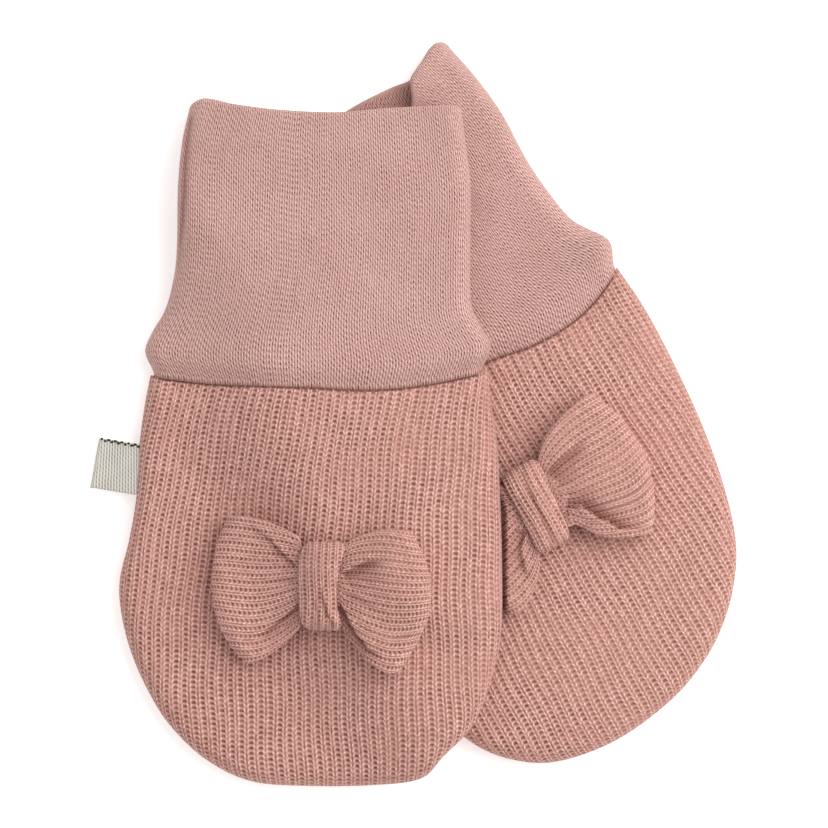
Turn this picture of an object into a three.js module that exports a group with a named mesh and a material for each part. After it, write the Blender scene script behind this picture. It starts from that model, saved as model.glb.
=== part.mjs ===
// A pair of thumbless baby mittens, laid flat on a table. The upper mitten lies upright and its
// right half lies over the lower mitten, which is turned anticlockwise. Each mitten is a front and
// a back panel of waffle knit sewn together round the edge, a double cuff with a folded top edge,
// and a bow: a loop of the waffle knit gathered by a band. A blank tape label is sewn into the
// left side seam of the upper mitten.
// Millimetres, +Z up. The table is z = 0 and the origin is under the middle of the pair.
import * as THREE from 'three';

// Cloth and seams
const seamGap = 0.3;
const cuffSeamGap = 0.55;
const panelWall = 2.0;
const cuffWall = 2.3;
const bowWall = 1.4;
const bandWall = 1.4;
const labelWall = 0.45;

// Body panels
const bodyThickness = 7.4;
const bodyCrown = 0.8;
const bodyCrownReach = 22;
const bodySeamHeight = 3.6;
const frontRimRadius = 4.2;
const backRimRadius = 3.4;
const neckDip = 0.7;
const neckDipReach = 4.5;
const tipStart = 0.4;
const tipEnd = 0.6;

// Cuff
const cuffLength = 54;
const cuffRimRadius = 3.4;
const cuffRimHeight = 0.46;
const cuffSlotRadius = 1.2;
const cuffFootRadius = 0.8;
const mouthStart = 30;
const mouthReach = 20;
const mouthGape = 1.0;
const gapeStart = 26;
const gapeReach = 16;

// Bow and band, measured up from the panel they lie on
const bowClearance = 0.5;
const bowEndRadius = 3.0;
const bowEndBow = 0.09;
const bowSlot = 0.3;
const pleatDepth = 0.45;
const pleatWaves = 2.5;
const pleatReach = 11;
const pleatRise = 3;
const pleatFade = 6;
const bandLength = 17.2;
const bandWidth = 8.0;
const bandBulge = 0.5;
const bandCornerRadius = 2.6;

// How the upper mitten is draped over the lower one
const drapeRamp = 24;
const pressedHalf = 1.3;
const pressedFrom = 20.5;
const pressedTo = 17.4;
const pressedStart = bandWidth / 2 + 0.5;
const pressedRamp = 2;
const lobeReach = 11;
const lobeFall = 9;

// Faces: cells across a panel and over a loop, rows along a loop, and steps round its edge
const panelCells = 16;
const cuffCells = 20;
const cuffRows = [0, 0.03, 0.065, 0.11, 0.18, 0.28, 0.41, 0.55, 0.69, 0.83, 0.94, 1];
const cuffEdgeSteps = 4;
const bowCells = 18;
const bowRows = 10;
const bandCells = 12;
const bandRows = 4;
const bowEdgeSteps = 2;
const edgeSamples = 140;
const sideSamples = 12;

const table = (columns, ...rows) =>
  rows.map((row) => Object.fromEntries(columns.map((name, i) => [name, row[i]])));

// Cuff height over the table, by the distance from the seam: the lower end puffs over the seam.
const cuffHeight = table(['y', 'height'],
  [0, 6.7], [2.5, 7.7], [5, 7.5], [10, 6.5], [18, 6.1], [40, 6.0], [54, 5.9]);

// Height of the underside of the cloth that lies over the lower mitten, by the same distance
const drapeHeight = table(['y', 'height'],
  [-30, 7.9], [-12, 7.95], [-4, 8.2], [4, 8.3], [12, 7.7], [20, 6.9], [34, 6.6], [54, 6.5]);

// The bow's half thickness and the height of its middle, by the distance from the knot
const bowSection = table(['x', 'half', 'middle'],
  [0, 1.6, 3.7], [4.6, 1.6, 3.7], [8, 2.4, 3.4], [13, 2.85, 3.25], [24, 2.75, 3.25]);

const upper = {
  name: 'upper',
  place: { x: -19.01, y: 6.05, turn: 0 },
  seam: table(['x', 'y'],
    [-32.4, 1.2], [-20, -0.2], [0, -1.0], [8, -1.4], [16, -1.1], [24, 0.1], [33.5, 2.2]),
  cuffTop: table(['x', 'y'],
    [-25, 54.3], [-21.8, 55.5], [-16, 54.3], [-7, 53.1], [4, 52.6], [14, 53.4], [28.2, 54.1]),
  cuffSides: table(['y', 'left', 'right'],
    [0, -31.9, 32.4], [4.2, -33.2, 34.0], [8.4, -32.2, 32.2], [12.3, -30.3, 30.5],
    [17, -28.6, 30.0], [24, -27.3, 30.0], [39, -26.9, 30.0], [48, -26.1, 29.0], [54, -24.9, 28.2]),
  mouth: table(['x', 'dip', 'gape'], [-25, 0, 0], [28, 0, 0]),
  body: table(['x', 'y'],
    [-32.4, 1.2], [-33.5, -4], [-34.6, -12], [-35.2, -22], [-36.4, -30.5], [-38.2, -38],
    [-38.2, -44], [-36.4, -51.5], [-33.2, -59], [-28.4, -66.5], [-21.3, -73.3], [-12.5, -77.5],
    [-1, -78.7], [11, -78.5], [20.4, -77.2], [25, -72.8], [30.4, -66.6], [33.8, -58.5],
    [35.9, -49], [36.1, -36], [35.7, -22], [35.1, -11], [34, -4], [33.5, 2.2]),
  bow: {
    x: 0.6, y: -39.4, left: -20.9, right: 21.7, pressed: false,
    edges: table(['x', 'top', 'bottom'],
      [-20.9, 13.1, -13.4], [-17, 13.6, -14.6], [-12, 13.2, -14.3], [-7.6, 11.4, -11.6],
      [-4.6, 6.6, -6.6], [0, 6.2, -6.2], [4.6, 6.6, -6.8], [6.8, 9.2, -10.6],
      [10, 10.3, -14.6], [15.5, 10.9, -16.8], [21.7, 9.4, -12.6]),
  },
};

const lower = {
  name: 'lower',
  place: { x: 8.29, y: 10.53, turn: 30 },
  seam: table(['x', 'y'],
    [-32.8, 1.0], [-20, -1.0], [-6, -2.2], [6, -3.4], [14, -4.9], [22, -5.0], [29, -3.5],
    [36.2, -0.3]),
  cuffTop: table(['x', 'y'],
    [-27.3, 52.8], [-15, 52.2], [0, 52.4], [16, 53.2], [24, 54.4], [29.6, 55.1]),
  cuffSides: table(['y', 'left', 'right'],
    [0, -32.5, 35.6], [4.5, -33.6, 37.1], [9, -31.4, 35.2], [13, -29.6, 33.3], [18, -28.4, 32.3],
    [27, -27.6, 31.5], [38, -27.4, 31.8], [46, -27.4, 31.0], [54, -27.2, 29.4]),
  mouth: table(['x', 'dip', 'gape'],
    [-27, 0, 0], [-10, 0.8, 0.4], [8, 4.6, 0.9], [16, 6.2, 1.0], [19.5, 3.4, 1.0], [22.5, 1.4, 0.7],
    [29.6, 0, 0]),
  body: table(['x', 'y'],
    [-32.8, 1.0], [-33.8, -5], [-34.8, -14], [-35.8, -26], [-37.2, -38], [-38.2, -49],
    [-37.6, -57.5], [-34.6, -66.5], [-29.6, -73], [-22, -77.8], [-10, -79.9], [3, -78.5],
    [12.7, -75], [20.2, -70], [26, -63.8], [30, -57], [33.2, -46.5], [35.4, -34], [36.6, -20],
    [36.9, -9], [36.2, -0.3]),
  bow: {
    x: -0.8, y: -32.5, left: -18.5, right: 23.6, pressed: true,
    edges: table(['x', 'top', 'bottom'],
      [-18.5, 11, -14], [-13, 11.8, -16], [-8, 9.8, -13.2], [-4.6, 6.6, -6.8], [0, 6.2, -6.2],
      [4.6, 6.5, -6.6], [7.2, 8.8, -10], [13, 11.4, -12.7], [19.5, 14, -14.7], [23.6, 12.6, -12]),
  },
};

// Blank tape label, folded at its outer end: its outline in the upper mitten's own frame
const label = {
  innerTop: { x: -34.95, y: -12.0 }, innerBottom: { x: -35.8, y: -21.4 },
  outerTop: { x: -42.0, y: -10.8 }, outerBottom: { x: -43.7, y: -20.0 },
  innerHeight: 3.6, outerHeight: 1.1, foldSteps: 6, lengthSteps: 6,
};

const clamp = (value, low = 0, high = 1) => Math.min(Math.max(value, low), high);
const mix = (a, b, t) => a + (b - a) * t;
const ease = (t) => clamp(t) ** 2 * (3 - 2 * clamp(t));
const roundRise = (distance, radius) => Math.sqrt(1 - (1 - clamp(distance / radius)) ** 2);
// Steps from 0 to 1 that are close together at both ends, where the cloth turns
const rimSteps = [0, 0.012, 0.042, 0.09];
const turned = (i, cells) => {
  const rim = rimSteps.length - 1;
  if (i <= rim) return rimSteps[i];
  if (i >= cells - rim) return 1 - rimSteps[cells - i];
  return mix(rimSteps[rim], 1 - rimSteps[rim], (i - rim) / (cells - 2 * rim));
};
const steps = (cells) => Array.from({ length: cells + 1 }, (_, i) => i);
const fractions = (cells) => steps(cells).map((i) => i / cells);

// A smooth curve through a table's rows, from one column to another
function curve(rows, from, to) {
  const last = rows.length - 1;
  const slope = (i) => {
    const before = rows[Math.max(i - 1, 0)];
    const after = rows[Math.min(i + 1, last)];
    return (after[to] - before[to]) / (after[from] - before[from]);
  };
  return (at) => {
    let k = 0;
    while (k < last - 1 && at > rows[k + 1][from]) k += 1;
    const span = rows[k + 1][from] - rows[k][from];
    const t = clamp((at - rows[k][from]) / span);
    const keepStart = (1 + 2 * t) * (1 - t) ** 2;
    const leaveStart = t * (1 - t) ** 2 * span;
    const reachEnd = t ** 2 * (t - 1) * span;
    return keepStart * rows[k][to] + leaveStart * slope(k)
      + (1 - keepStart) * rows[k + 1][to] + reachEnd * slope(k + 1);
  };
}

// A closed body from sheets of points. Facing is put right by the sign of its volume.
function bodyFrom(sheets, material, name) {
  const corners = [];
  for (const rows of sheets) {
    for (let i = 0; i < rows.length - 1; i += 1) {
      for (let j = 0; j < rows[i].length - 1; j += 1) {
        const [a, b, c, d] = [rows[i][j], rows[i][j + 1], rows[i + 1][j + 1], rows[i + 1][j]];
        corners.push(a, b, c, a, c, d);
      }
    }
  }
  const cross = new THREE.Vector3();
  let volume = 0;
  for (let k = 0; k < corners.length; k += 3) {
    volume += cross.crossVectors(corners[k], corners[k + 1]).dot(corners[k + 2]);
  }
  const faces = [];
  for (let k = 0; k < corners.length; k += 3) {
    const [a, b, c] = corners.slice(k, k + 3);
    faces.push(a, ...(volume > 0 ? [b, c] : [c, b]));
  }
  const geometry = new THREE.BufferGeometry().setFromPoints(faces);
  geometry.computeVertexNormals();
  const mesh = new THREE.Mesh(geometry, material);
  mesh.name = name;
  return mesh;
}

// The edge of a mitten's body, from the seam's left end round the fingertips to its right end
function bodyPath(mitten, inset) {
  const spline = new THREE.SplineCurve(mitten.body.map((p) => new THREE.Vector2(p.x, p.y)));
  return (fraction) => {
    const point = spline.getPointAt(fraction);
    const along = spline.getTangentAt(fraction);
    return new THREE.Vector2(point.x - along.y * inset, point.y + along.x * inset);
  };
}

// Distance from a point to a line of points
function distanceTo(line, x, y) {
  let least = Infinity;
  for (let i = 0; i < line.length - 1; i += 1) {
    const [a, b] = [line[i], line[i + 1]];
    const [dx, dy] = [b.x - a.x, b.y - a.y];
    const t = clamp(((x - a.x) * dx + (y - a.y) * dy) / (dx * dx + dy * dy));
    least = Math.min(least, Math.hypot(x - a.x - dx * t, y - a.y - dy * t));
  }
  return least;
}

function inside(line, x, y) {
  let within = false;
  for (let i = 0, j = line.length - 1; i < line.length; j = i, i += 1) {
    const [a, b] = [line[i], line[j]];
    if ((a.y > y) !== (b.y > y) && x < ((b.x - a.x) * (y - a.y)) / (b.y - a.y) + a.x) {
      within = !within;
    }
  }
  return within;
}

// A mitten's measures as functions of its own x and y
function measure(mitten) {
  const path = bodyPath(mitten, 0);
  const bodyLine = fractions(edgeSamples).map(path);
  const seam = curve(mitten.seam, 'x', 'y');
  const cuffTop = curve(mitten.cuffTop, 'x', 'y');
  const left = curve(mitten.cuffSides, 'y', 'left');
  const right = curve(mitten.cuffSides, 'y', 'right');
  const sideRows = fractions(sideSamples).map((t) => t * cuffLength);
  const outline = [
    ...bodyLine,
    ...sideRows.map((y) => new THREE.Vector2(right(y), y)),
    ...sideRows.reverse().map((y) => new THREE.Vector2(left(y), y)),
  ];
  const edgeDistance = (x, y) => (inside(bodyLine, x, y) ? distanceTo(bodyLine, x, y) : 0);
  const frontTop = (x, y) => {
    const d = edgeDistance(x, y);
    const crown = bodyCrown * (1 - ease(d / bodyCrownReach));
    const dip = neckDip * (1 - ease((seam(x) - y) / neckDipReach));
    const rim = bodySeamHeight + seamGap / 2;
    return mix(rim, bodyThickness - crown - dip, roundRise(d, frontRimRadius));
  };
  return { path, bodyLine, seam, cuffTop, left, right, outline, edgeDistance, frontTop };
}

const measures = { upper: measure(upper), lower: measure(lower) };

// A point of the upper mitten, seen in the lower mitten's own frame
function inLower(x, y) {
  const turn = THREE.MathUtils.degToRad(lower.place.turn - upper.place.turn);
  const [dx, dy] = [x + upper.place.x - lower.place.x, y + upper.place.y - lower.place.y];
  return [dx * Math.cos(turn) + dy * Math.sin(turn), dy * Math.cos(turn) - dx * Math.sin(turn)];
}

// How far the upper mitten is lifted: over the lower one it lies on it, and past the lower
// one's edge it comes down to the table. The bow's hidden lobe lifts it a little more.
const cuffHeightAt = curve(cuffHeight, 'y', 'height');
const drapeHeightAt = curve(drapeHeight, 'y', 'height');
const pressedLobe = 2 * pressedHalf + bowClearance;

function lift(x, y) {
  const [u, v] = inLower(x, y);
  const { outline } = measures.lower;
  const out = inside(outline, u, v) ? 0 : distanceTo(outline, u, v);
  const gape = mouthGape * ease((v - gapeStart) / gapeReach);
  const lobe = [
    new THREE.Vector2(lower.bow.x + lower.bow.left, lower.bow.y),
    new THREE.Vector2(lower.bow.x - bandWidth, lower.bow.y),
  ];
  const overLobe = 1 - ease((distanceTo(lobe, u, v) - lobeReach) / lobeFall);
  const ramp = 1 - ease(out / drapeRamp);
  return (drapeHeightAt(v) + gape + pressedLobe * overLobe) * ramp;
}

const lifts = { upper: lift, lower: () => 0 };

// A panel: two sheets over the same patch between the seam and the edge, joined round the border
function panel(mitten, side, cells, material) {
  const own = measures[mitten.name];
  const raise = lifts[mitten.name];
  const rim = bodySeamHeight + (side === 'front' ? seamGap / 2 : -seamGap / 2);
  const heights = {
    frontOuter: (x, y) => own.frontTop(x, y),
    frontInner: (x, y, d) =>
      mix(rim, own.frontTop(x, y) - panelWall, roundRise(d - panelWall, frontRimRadius)),
    backOuter: (x, y, d) => rim * (1 - roundRise(d, backRimRadius)),
    backInner: (x, y, d) => mix(rim, panelWall, roundRise(d - panelWall, backRimRadius)),
  };
  const sheet = (layer, inset) => {
    const path = bodyPath(mitten, inset);
    const [start, end] = [path(0), path(1)];
    const seamRow = (u) => {
      const x = mix(start.x, end.x, u);
      return new THREE.Vector2(x, own.seam(x));
    };
    const tipRow = (u) => path(mix(tipStart, tipEnd, u));
    // The inner sheet's ends slide along the edge to the seam
    const slid = (point, end, v) => point.setY(point.y + (own.seam(end.x) - end.y) * (1 - v));
    const leftSide = (v) => slid(path(v * tipStart), start, v);
    const rightSide = (v) => slid(path(1 - v * (1 - tipEnd)), end, v);
    const blend = (axis, u, v) => {
      const ends = mix(
        mix(seamRow(0)[axis], seamRow(1)[axis], u), mix(tipRow(0)[axis], tipRow(1)[axis], u), v);
      return mix(seamRow(u)[axis], tipRow(u)[axis], v)
        + mix(leftSide(v)[axis], rightSide(v)[axis], u) - ends;
    };
    return steps(cells).map((i) => steps(cells).map((j) => {
      const [u, v] = [turned(j, cells), turned(i, cells)];
      const onEdge = i === cells || j === 0 || j === cells;
      const [x, y] = [blend('x', u, v), blend('y', u, v)];
      const d = onEdge ? inset : Math.max(own.edgeDistance(x, y), inset);
      const z = onEdge ? rim : heights[side + layer](x, y, d);
      return new THREE.Vector3(x, y, z + raise(x, y));
    }));
  };
  const outer = sheet('Outer', 0);
  const inner = sheet('Inner', panelWall);
  const border = (rows) => [
    ...rows[0],
    ...rows.slice(1).map((row) => row[cells]),
    ...rows[cells].slice(0, cells).reverse(),
    ...rows.slice(0, cells).reverse().map((row) => row[0]),
  ];
  const innerTurned = inner.map((row) => [...row].reverse());
  const rimStrip = [border(inner), border(outer)];
  return bodyFrom([outer, innerTurned, rimStrip], material, `${mitten.name}_body_${side}`);
}

// A flattened loop of cloth: stations go over its top and back underneath, and rows go along it,
// over the outside, round one edge, back along the inside and round the other edge.
function loop(stations, rows, place, material, name) {
  const round = [
    ...steps(stations).map((i) => ({ across: turned(i, stations), over: true })),
    ...steps(stations).slice(1, stations)
      .map((i) => ({ across: turned(stations - i, stations), over: false })),
  ];
  const rings = rows.map((row) => round.map((station) => place(station, row)));
  const closedRings = rings.map((ring) => [...ring, ring[0]]);
  return bodyFrom([[...closedRings, closedRings[0]]], material, name);
}

// Rows of a loop: along is 0 to 1, depth 0 is the outside and 1 the inside, bulge rounds the edge
function loopRows(alongs, edgeSteps) {
  const edge = (along, from) => steps(edgeSteps).slice(1, edgeSteps).map((i) => {
    const angle = (Math.PI * i) / edgeSteps;
    const depth = (1 - Math.cos(angle)) / 2;
    return { along, depth: from === 0 ? depth : 1 - depth, bulge: Math.sin(angle) };
  });
  const flat = (depth) => alongs.map((along) => ({ along, depth, bulge: 0 }));
  return [...flat(0), ...edge(1, 0), ...flat(1).reverse(), ...edge(0, 1)];
}

function cuff(mitten, material) {
  const own = measures[mitten.name];
  const raise = lifts[mitten.name];
  const dip = curve(mitten.mouth, 'x', 'dip');
  const gape = curve(mitten.mouth, 'x', 'gape');
  const place = ({ across, over }, { along, depth, bulge }) => {
    const y = along * cuffLength;
    const inset = cuffWall * depth;
    const [low, high] = [own.left(y) + inset, own.right(y) - inset];
    const x = mix(low, high, across);
    const height = cuffHeightAt(y) + gape(x) * ease((y - mouthStart) / mouthReach);
    const middle = mix(height * cuffRimHeight, height / 2, depth);
    const target = over ? height - inset : inset;
    const radius = mix(cuffRimRadius, cuffSlotRadius, depth);
    const z = mix(middle, target, roundRise(Math.min(x - low, high - x), radius));
    const top = own.cuffTop(x) - cuffWall / 2 - (over ? dip(x) : 0);
    const foot = own.seam(x) + cuffSeamGap + cuffFootRadius;
    const edge = along === 1 ? cuffWall / 2 : -cuffFootRadius;
    const placedY = mix(foot, top, along) + edge * bulge;
    return new THREE.Vector3(x, placedY, z + raise(x, placedY));
  };
  const rows = loopRows(cuffRows, cuffEdgeSteps);
  return loop(cuffCells, rows, place, material, `${mitten.name}_cuff`);
}

// The bow's gathered loop: flat and narrow in the knot, puffed and wide in its two lobes
const bowHalf = curve(bowSection, 'x', 'half');
const bowMiddle = curve(bowSection, 'x', 'middle');

function bow(mitten, material) {
  const own = measures[mitten.name];
  const raise = lifts[mitten.name];
  const { x: knotX, y: knotY, left, right, pressed, edges } = mitten.bow;
  const topEdge = curve(edges, 'x', 'top');
  const bottomEdge = curve(edges, 'x', 'bottom');
  const turn = THREE.MathUtils.degToRad(mitten.place.turn);
  const place = ({ across, over }, { along, depth, bulge }) => {
    const width = 2 * along - 1;
    const shorten = 1 - bowEndBow * width ** 2;
    const inset = bowWall * depth;
    const [low, high] = [left * shorten + inset, right * shorten - inset];
    const x = mix(low, high, across);
    const edge = (along === 1 ? 1 : -1) * (bowWall / 2) * bulge;
    const y = mix(bottomEdge(x) + bowWall / 2, topEdge(x) - bowWall / 2, along) + edge;
    const worldX = mitten.place.x + (knotX + x) * Math.cos(turn) - (knotY + y) * Math.sin(turn);
    const pastBand = ease((-x - pressedStart) / pressedRamp);
    const underneath = ease((pressedFrom - worldX) / (pressedFrom - pressedTo));
    const press = pressed ? pastBand * underneath : 0;
    const full = bowHalf(Math.abs(x));
    const half = mix(full, pressedHalf, press);
    const middle = mix(bowMiddle(Math.abs(x)), bowClearance + pressedHalf, press);
    const thin = Math.max(half - bowWall, bowSlot / 2);
    const rise = ease((Math.abs(x) - bandWidth / 2) / pleatRise);
    const fade = ease((pleatReach - Math.abs(x)) / pleatFade);
    const wave = Math.cos(Math.PI * 2 * pleatWaves * along);
    const pleat = pleatDepth * rise * fade * (1 - press) * wave;
    const open = roundRise(Math.min(x - low, high - x), mix(bowEndRadius, half - inset, depth));
    const z = middle + (over ? 1 : -1) * mix(half, thin, depth) * open + (over ? pleat : 0);
    const [px, py] = [knotX + x, knotY + y];
    return new THREE.Vector3(px, py, own.frontTop(px, py) + z + raise(px, py));
  };
  const rows = loopRows(fractions(bowRows), bowEdgeSteps);
  return loop(bowCells, rows, place, material, `${mitten.name}_bow`);
}

// The band goes right round the knot of the bow
function band(mitten, material) {
  const own = measures[mitten.name];
  const raise = lifts[mitten.name];
  const { x: knotX, y: knotY } = mitten.bow;
  const knot = bowSection[0];
  const place = ({ across, over }, { along, depth, bulge }) => {
    const inset = bandWall * depth;
    const y = mix(inset - bandLength / 2, bandLength / 2 - inset, across);
    const barrel = bandBulge * (1 - (2 * y / bandLength) ** 2);
    const side = 2 * along - 1;
    const x = side * (bandWidth / 2 - bandWall / 2 + barrel / 2)
      + Math.sign(side) * (bandWall / 2) * bulge;
    const half = knot.half + seamGap + bandWall - inset;
    const radius = Math.min(half, bandCornerRadius);
    const open = roundRise(bandLength / 2 - inset - Math.abs(y), radius);
    const z = knot.middle + (over ? 1 : -1) * half * open + (over ? (1 - depth) * barrel / 2 : 0);
    const [px, py] = [knotX + x, knotY + y];
    return new THREE.Vector3(px, py, own.frontTop(px, py) + raise(px, py) + z);
  };
  const rows = loopRows(fractions(bandRows), bowEdgeSteps);
  return loop(bandCells, rows, place, material, `${mitten.name}_bow_band`);
}

// The label is a tape folded back on itself at its outer end, with both ends at the side seam
function tapeLabel(material) {
  const { innerTop, innerBottom, outerTop, outerBottom, foldSteps, lengthSteps } = label;
  const half = labelWall + seamGap / 2;
  const arm = (sign) => steps(lengthSteps).map((i) => ({ out: i / lengthSteps, turn: sign, swing: 0 }));
  const fold = steps(foldSteps).slice(1, foldSteps).map((i) => {
    const angle = (Math.PI * i) / foldSteps;
    return { out: 1, turn: Math.cos(angle), swing: Math.sin(angle) };
  });
  const path = [...arm(1), ...fold, ...arm(-1).reverse()];
  const point = ({ out, turn, swing }, across, radius) => {
    const end = (key) => mix(mix(innerTop[key], outerTop[key], out),
      mix(innerBottom[key], outerBottom[key], out), across);
    const droop = mix(label.innerHeight, label.outerHeight, ease(out));
    const x = end('x') - swing * radius;
    return new THREE.Vector3(x, end('y'), droop + turn * radius);
  };
  const widths = [0, 0.5, 1];
  const faces = [half, seamGap / 2].map((radius) =>
    path.map((station) => widths.map((across) => point(station, across, radius))));
  const [outer, inner] = faces;
  const innerTurned = inner.map((row) => [...row].reverse());
  const edgeOf = (rows, k) => rows.map((row) => row[k]);
  const last = widths.length - 1;
  const sheets = [
    outer,
    innerTurned,
    [edgeOf(inner, 0), edgeOf(outer, 0)].map((line) => [...line].reverse()),
    [edgeOf(inner, last), edgeOf(outer, last)],
    [inner[0], outer[0]],
    [inner[path.length - 1], outer[path.length - 1]].map((line) => [...line].reverse()),
  ];
  return bodyFrom(sheets, material, 'upper_label');
}

const cloth = (name, colour, roughness) => {
  const material = new THREE.MeshStandardMaterial({ color: colour, roughness, metalness: 0 });
  material.name = name;
  return material;
};

const waffleKnit = cloth('waffle_knit', 0xc29389, 0.92);
const cuffKnit = cloth('cuff_knit', 0xc89f96, 0.9);
const labelTape = cloth('label_tape', 0xdcd8ce, 0.8);

const pair = new THREE.Group();
for (const mitten of [lower, upper]) {
  const group = new THREE.Group();
  group.position.set(mitten.place.x, mitten.place.y, 0);
  group.rotation.z = THREE.MathUtils.degToRad(mitten.place.turn);
  group.add(
    panel(mitten, 'back', panelCells, waffleKnit),
    panel(mitten, 'front', panelCells, waffleKnit),
    cuff(mitten, cuffKnit),
    bow(mitten, waffleKnit),
    band(mitten, waffleKnit),
  );
  if (mitten === upper) group.add(tapeLabel(labelTape));
  pair.add(group);
}

export default pair;
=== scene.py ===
"""A pair of thumbless baby mittens in dusty pink knit, laid flat and seen from straight above."""

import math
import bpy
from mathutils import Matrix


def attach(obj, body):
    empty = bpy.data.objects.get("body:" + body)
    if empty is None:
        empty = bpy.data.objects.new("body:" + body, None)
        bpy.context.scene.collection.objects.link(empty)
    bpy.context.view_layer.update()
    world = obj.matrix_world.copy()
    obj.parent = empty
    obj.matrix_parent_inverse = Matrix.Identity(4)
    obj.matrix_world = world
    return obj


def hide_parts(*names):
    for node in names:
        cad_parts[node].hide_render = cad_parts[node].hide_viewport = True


bl_info = {
    "name": "Baby mittens",
    "version": (1, 0, 0),
    "blender": (4, 5, 0),
    "location": "3D View > Sidebar > Mittens",
    "description": "Builds the knitted cloth, label, stage and camera of a pair of baby mittens",
    "category": "Object",
}

import bpy
import numpy as np
from mathutils import Vector

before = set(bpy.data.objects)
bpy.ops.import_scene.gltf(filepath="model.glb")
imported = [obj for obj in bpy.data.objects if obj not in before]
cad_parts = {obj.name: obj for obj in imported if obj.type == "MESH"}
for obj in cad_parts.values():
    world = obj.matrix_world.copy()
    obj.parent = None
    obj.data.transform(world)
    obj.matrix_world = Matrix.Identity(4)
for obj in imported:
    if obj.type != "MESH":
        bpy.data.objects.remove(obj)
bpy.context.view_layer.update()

MM = 0.001
PHOTO_PX = 828
MM_PER_PX = 0.195


# Shape functions, in millimetres

def table(columns, *rows):
    """A short table as one array for each named column."""
    values = np.array(rows, float)
    return {name: values[:, i] for i, name in enumerate(columns.split())}


def mix(a, b, t):
    """From a to b, as t goes from 0 to 1."""
    return a + (b - a) * t


def ease(t):
    """A smooth step from 0 to 1."""
    t = np.clip(t, 0, 1)
    return t * t * (3 - 2 * t)


def round_rise(distance, radius):
    """A quarter circle: 0 at the edge of the cloth and 1 from the radius inwards."""
    return np.sqrt(1 - (1 - np.clip(distance / radius, 0, 1)) ** 2)


def curve(rows, source, target):
    """A smooth curve through a table's rows, from one column to another."""
    xs, ys = rows[source], rows[target]
    order = np.arange(len(xs))
    before, after = np.maximum(order - 1, 0), np.minimum(order + 1, len(xs) - 1)
    slope = (ys[after] - ys[before]) / (xs[after] - xs[before])

    def read(at):
        at = np.asarray(at, float)
        k = np.clip(np.searchsorted(xs, at, side="left") - 1, 0, len(xs) - 2)
        span = xs[k + 1] - xs[k]
        t = np.clip((at - xs[k]) / span, 0, 1)
        keep = (1 + 2 * t) * (1 - t) ** 2
        leave = t * (1 - t) ** 2 * span * slope[k]
        reach = t ** 2 * (t - 1) * span * slope[k + 1]
        return keep * ys[k] + leave + (1 - keep) * ys[k + 1] + reach

    return read


def distance_to(line, x, y):
    """Distance from each point to a line of points."""
    least = np.full(np.shape(x), np.inf)
    for (ax, ay), (bx, by) in zip(line[:-1], line[1:]):
        dx, dy = bx - ax, by - ay
        t = np.clip(((x - ax) * dx + (y - ay) * dy) / (dx * dx + dy * dy), 0, 1)
        least = np.minimum(least, (x - ax - dx * t) ** 2 + (y - ay - dy * t) ** 2)
    return np.sqrt(least)


def beside(line, x, y):
    """Distance to a line, more than 0 on its left, and how far along it the nearest point is."""
    points = np.array(line, float)
    steps = np.hypot(*np.diff(points, axis=0).T)
    starts = np.concatenate([[0], np.cumsum(steps)])
    shape = np.broadcast(x, y).shape
    least, side, along = np.full(shape, np.inf), np.zeros(shape), np.zeros(shape)
    for i, ((ax, ay), (bx, by)) in enumerate(zip(points[:-1], points[1:])):
        dx, dy = bx - ax, by - ay
        t = np.clip(((x - ax) * dx + (y - ay) * dy) / (dx * dx + dy * dy), 0, 1)
        off = np.hypot(x - ax - dx * t, y - ay - dy * t)
        nearer = off < least
        least = np.where(nearer, off, least)
        side = np.where(nearer, np.sign(dx * (y - ay) - dy * (x - ax)), side)
        along = np.where(nearer, (starts[i] + t * steps[i]) / starts[-1], along)
    return least * side, along


class Fold:
    """A fold along a line: a roll of cloth on the line's left and a hollow on its right."""

    def __init__(self, line, rise, drop, reach, fade_in=0.3, fade_out=0.3, crisp=0.3):
        self.line, self.rise, self.drop, self.reach = line, rise, drop, reach
        self.fade_in, self.fade_out, self.crisp = fade_in, fade_out, crisp

    def height(self, x, y):
        off, along = beside(self.line, x, y)
        ends = ease(along / self.fade_in) * ease((1 - along) / self.fade_out)
        size = np.where(off > 0, self.rise, -self.drop) * np.exp(-np.abs(off) / self.reach)
        return size * np.tanh(np.abs(off) / self.crisp) * ends


class Groove:
    """A soft trough along a line, or a swell where its depth is less than 0."""

    def __init__(self, line, depth, width, fade_in=0.3, fade_out=0.3):
        self.line, self.depth, self.width = line, depth, width
        self.fade_in, self.fade_out = fade_in, fade_out

    def height(self, x, y):
        off, along = beside(self.line, x, y)
        ends = ease(along / self.fade_in) * ease((1 - along) / self.fade_out)
        return -self.depth * np.exp(-(off / self.width) ** 2) * ends


def height_of(folds, x, y):
    """The height of all the folds and grooves together."""
    total = np.zeros(np.broadcast(x, y).shape)
    for fold in folds:
        total = total + fold.height(x, y)
    return total


def inside(line, x, y):
    """Whether each point lies within the closed line."""
    within = np.zeros(np.shape(x), bool)
    for (ax, ay), (bx, by) in zip(line, np.roll(line, 1, axis=0)):
        if ay != by:
            crosses = (ay > y) != (by > y)
            within ^= crosses & (x < (bx - ax) * (y - ay) / (by - ay) + ax)
    return within


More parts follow.
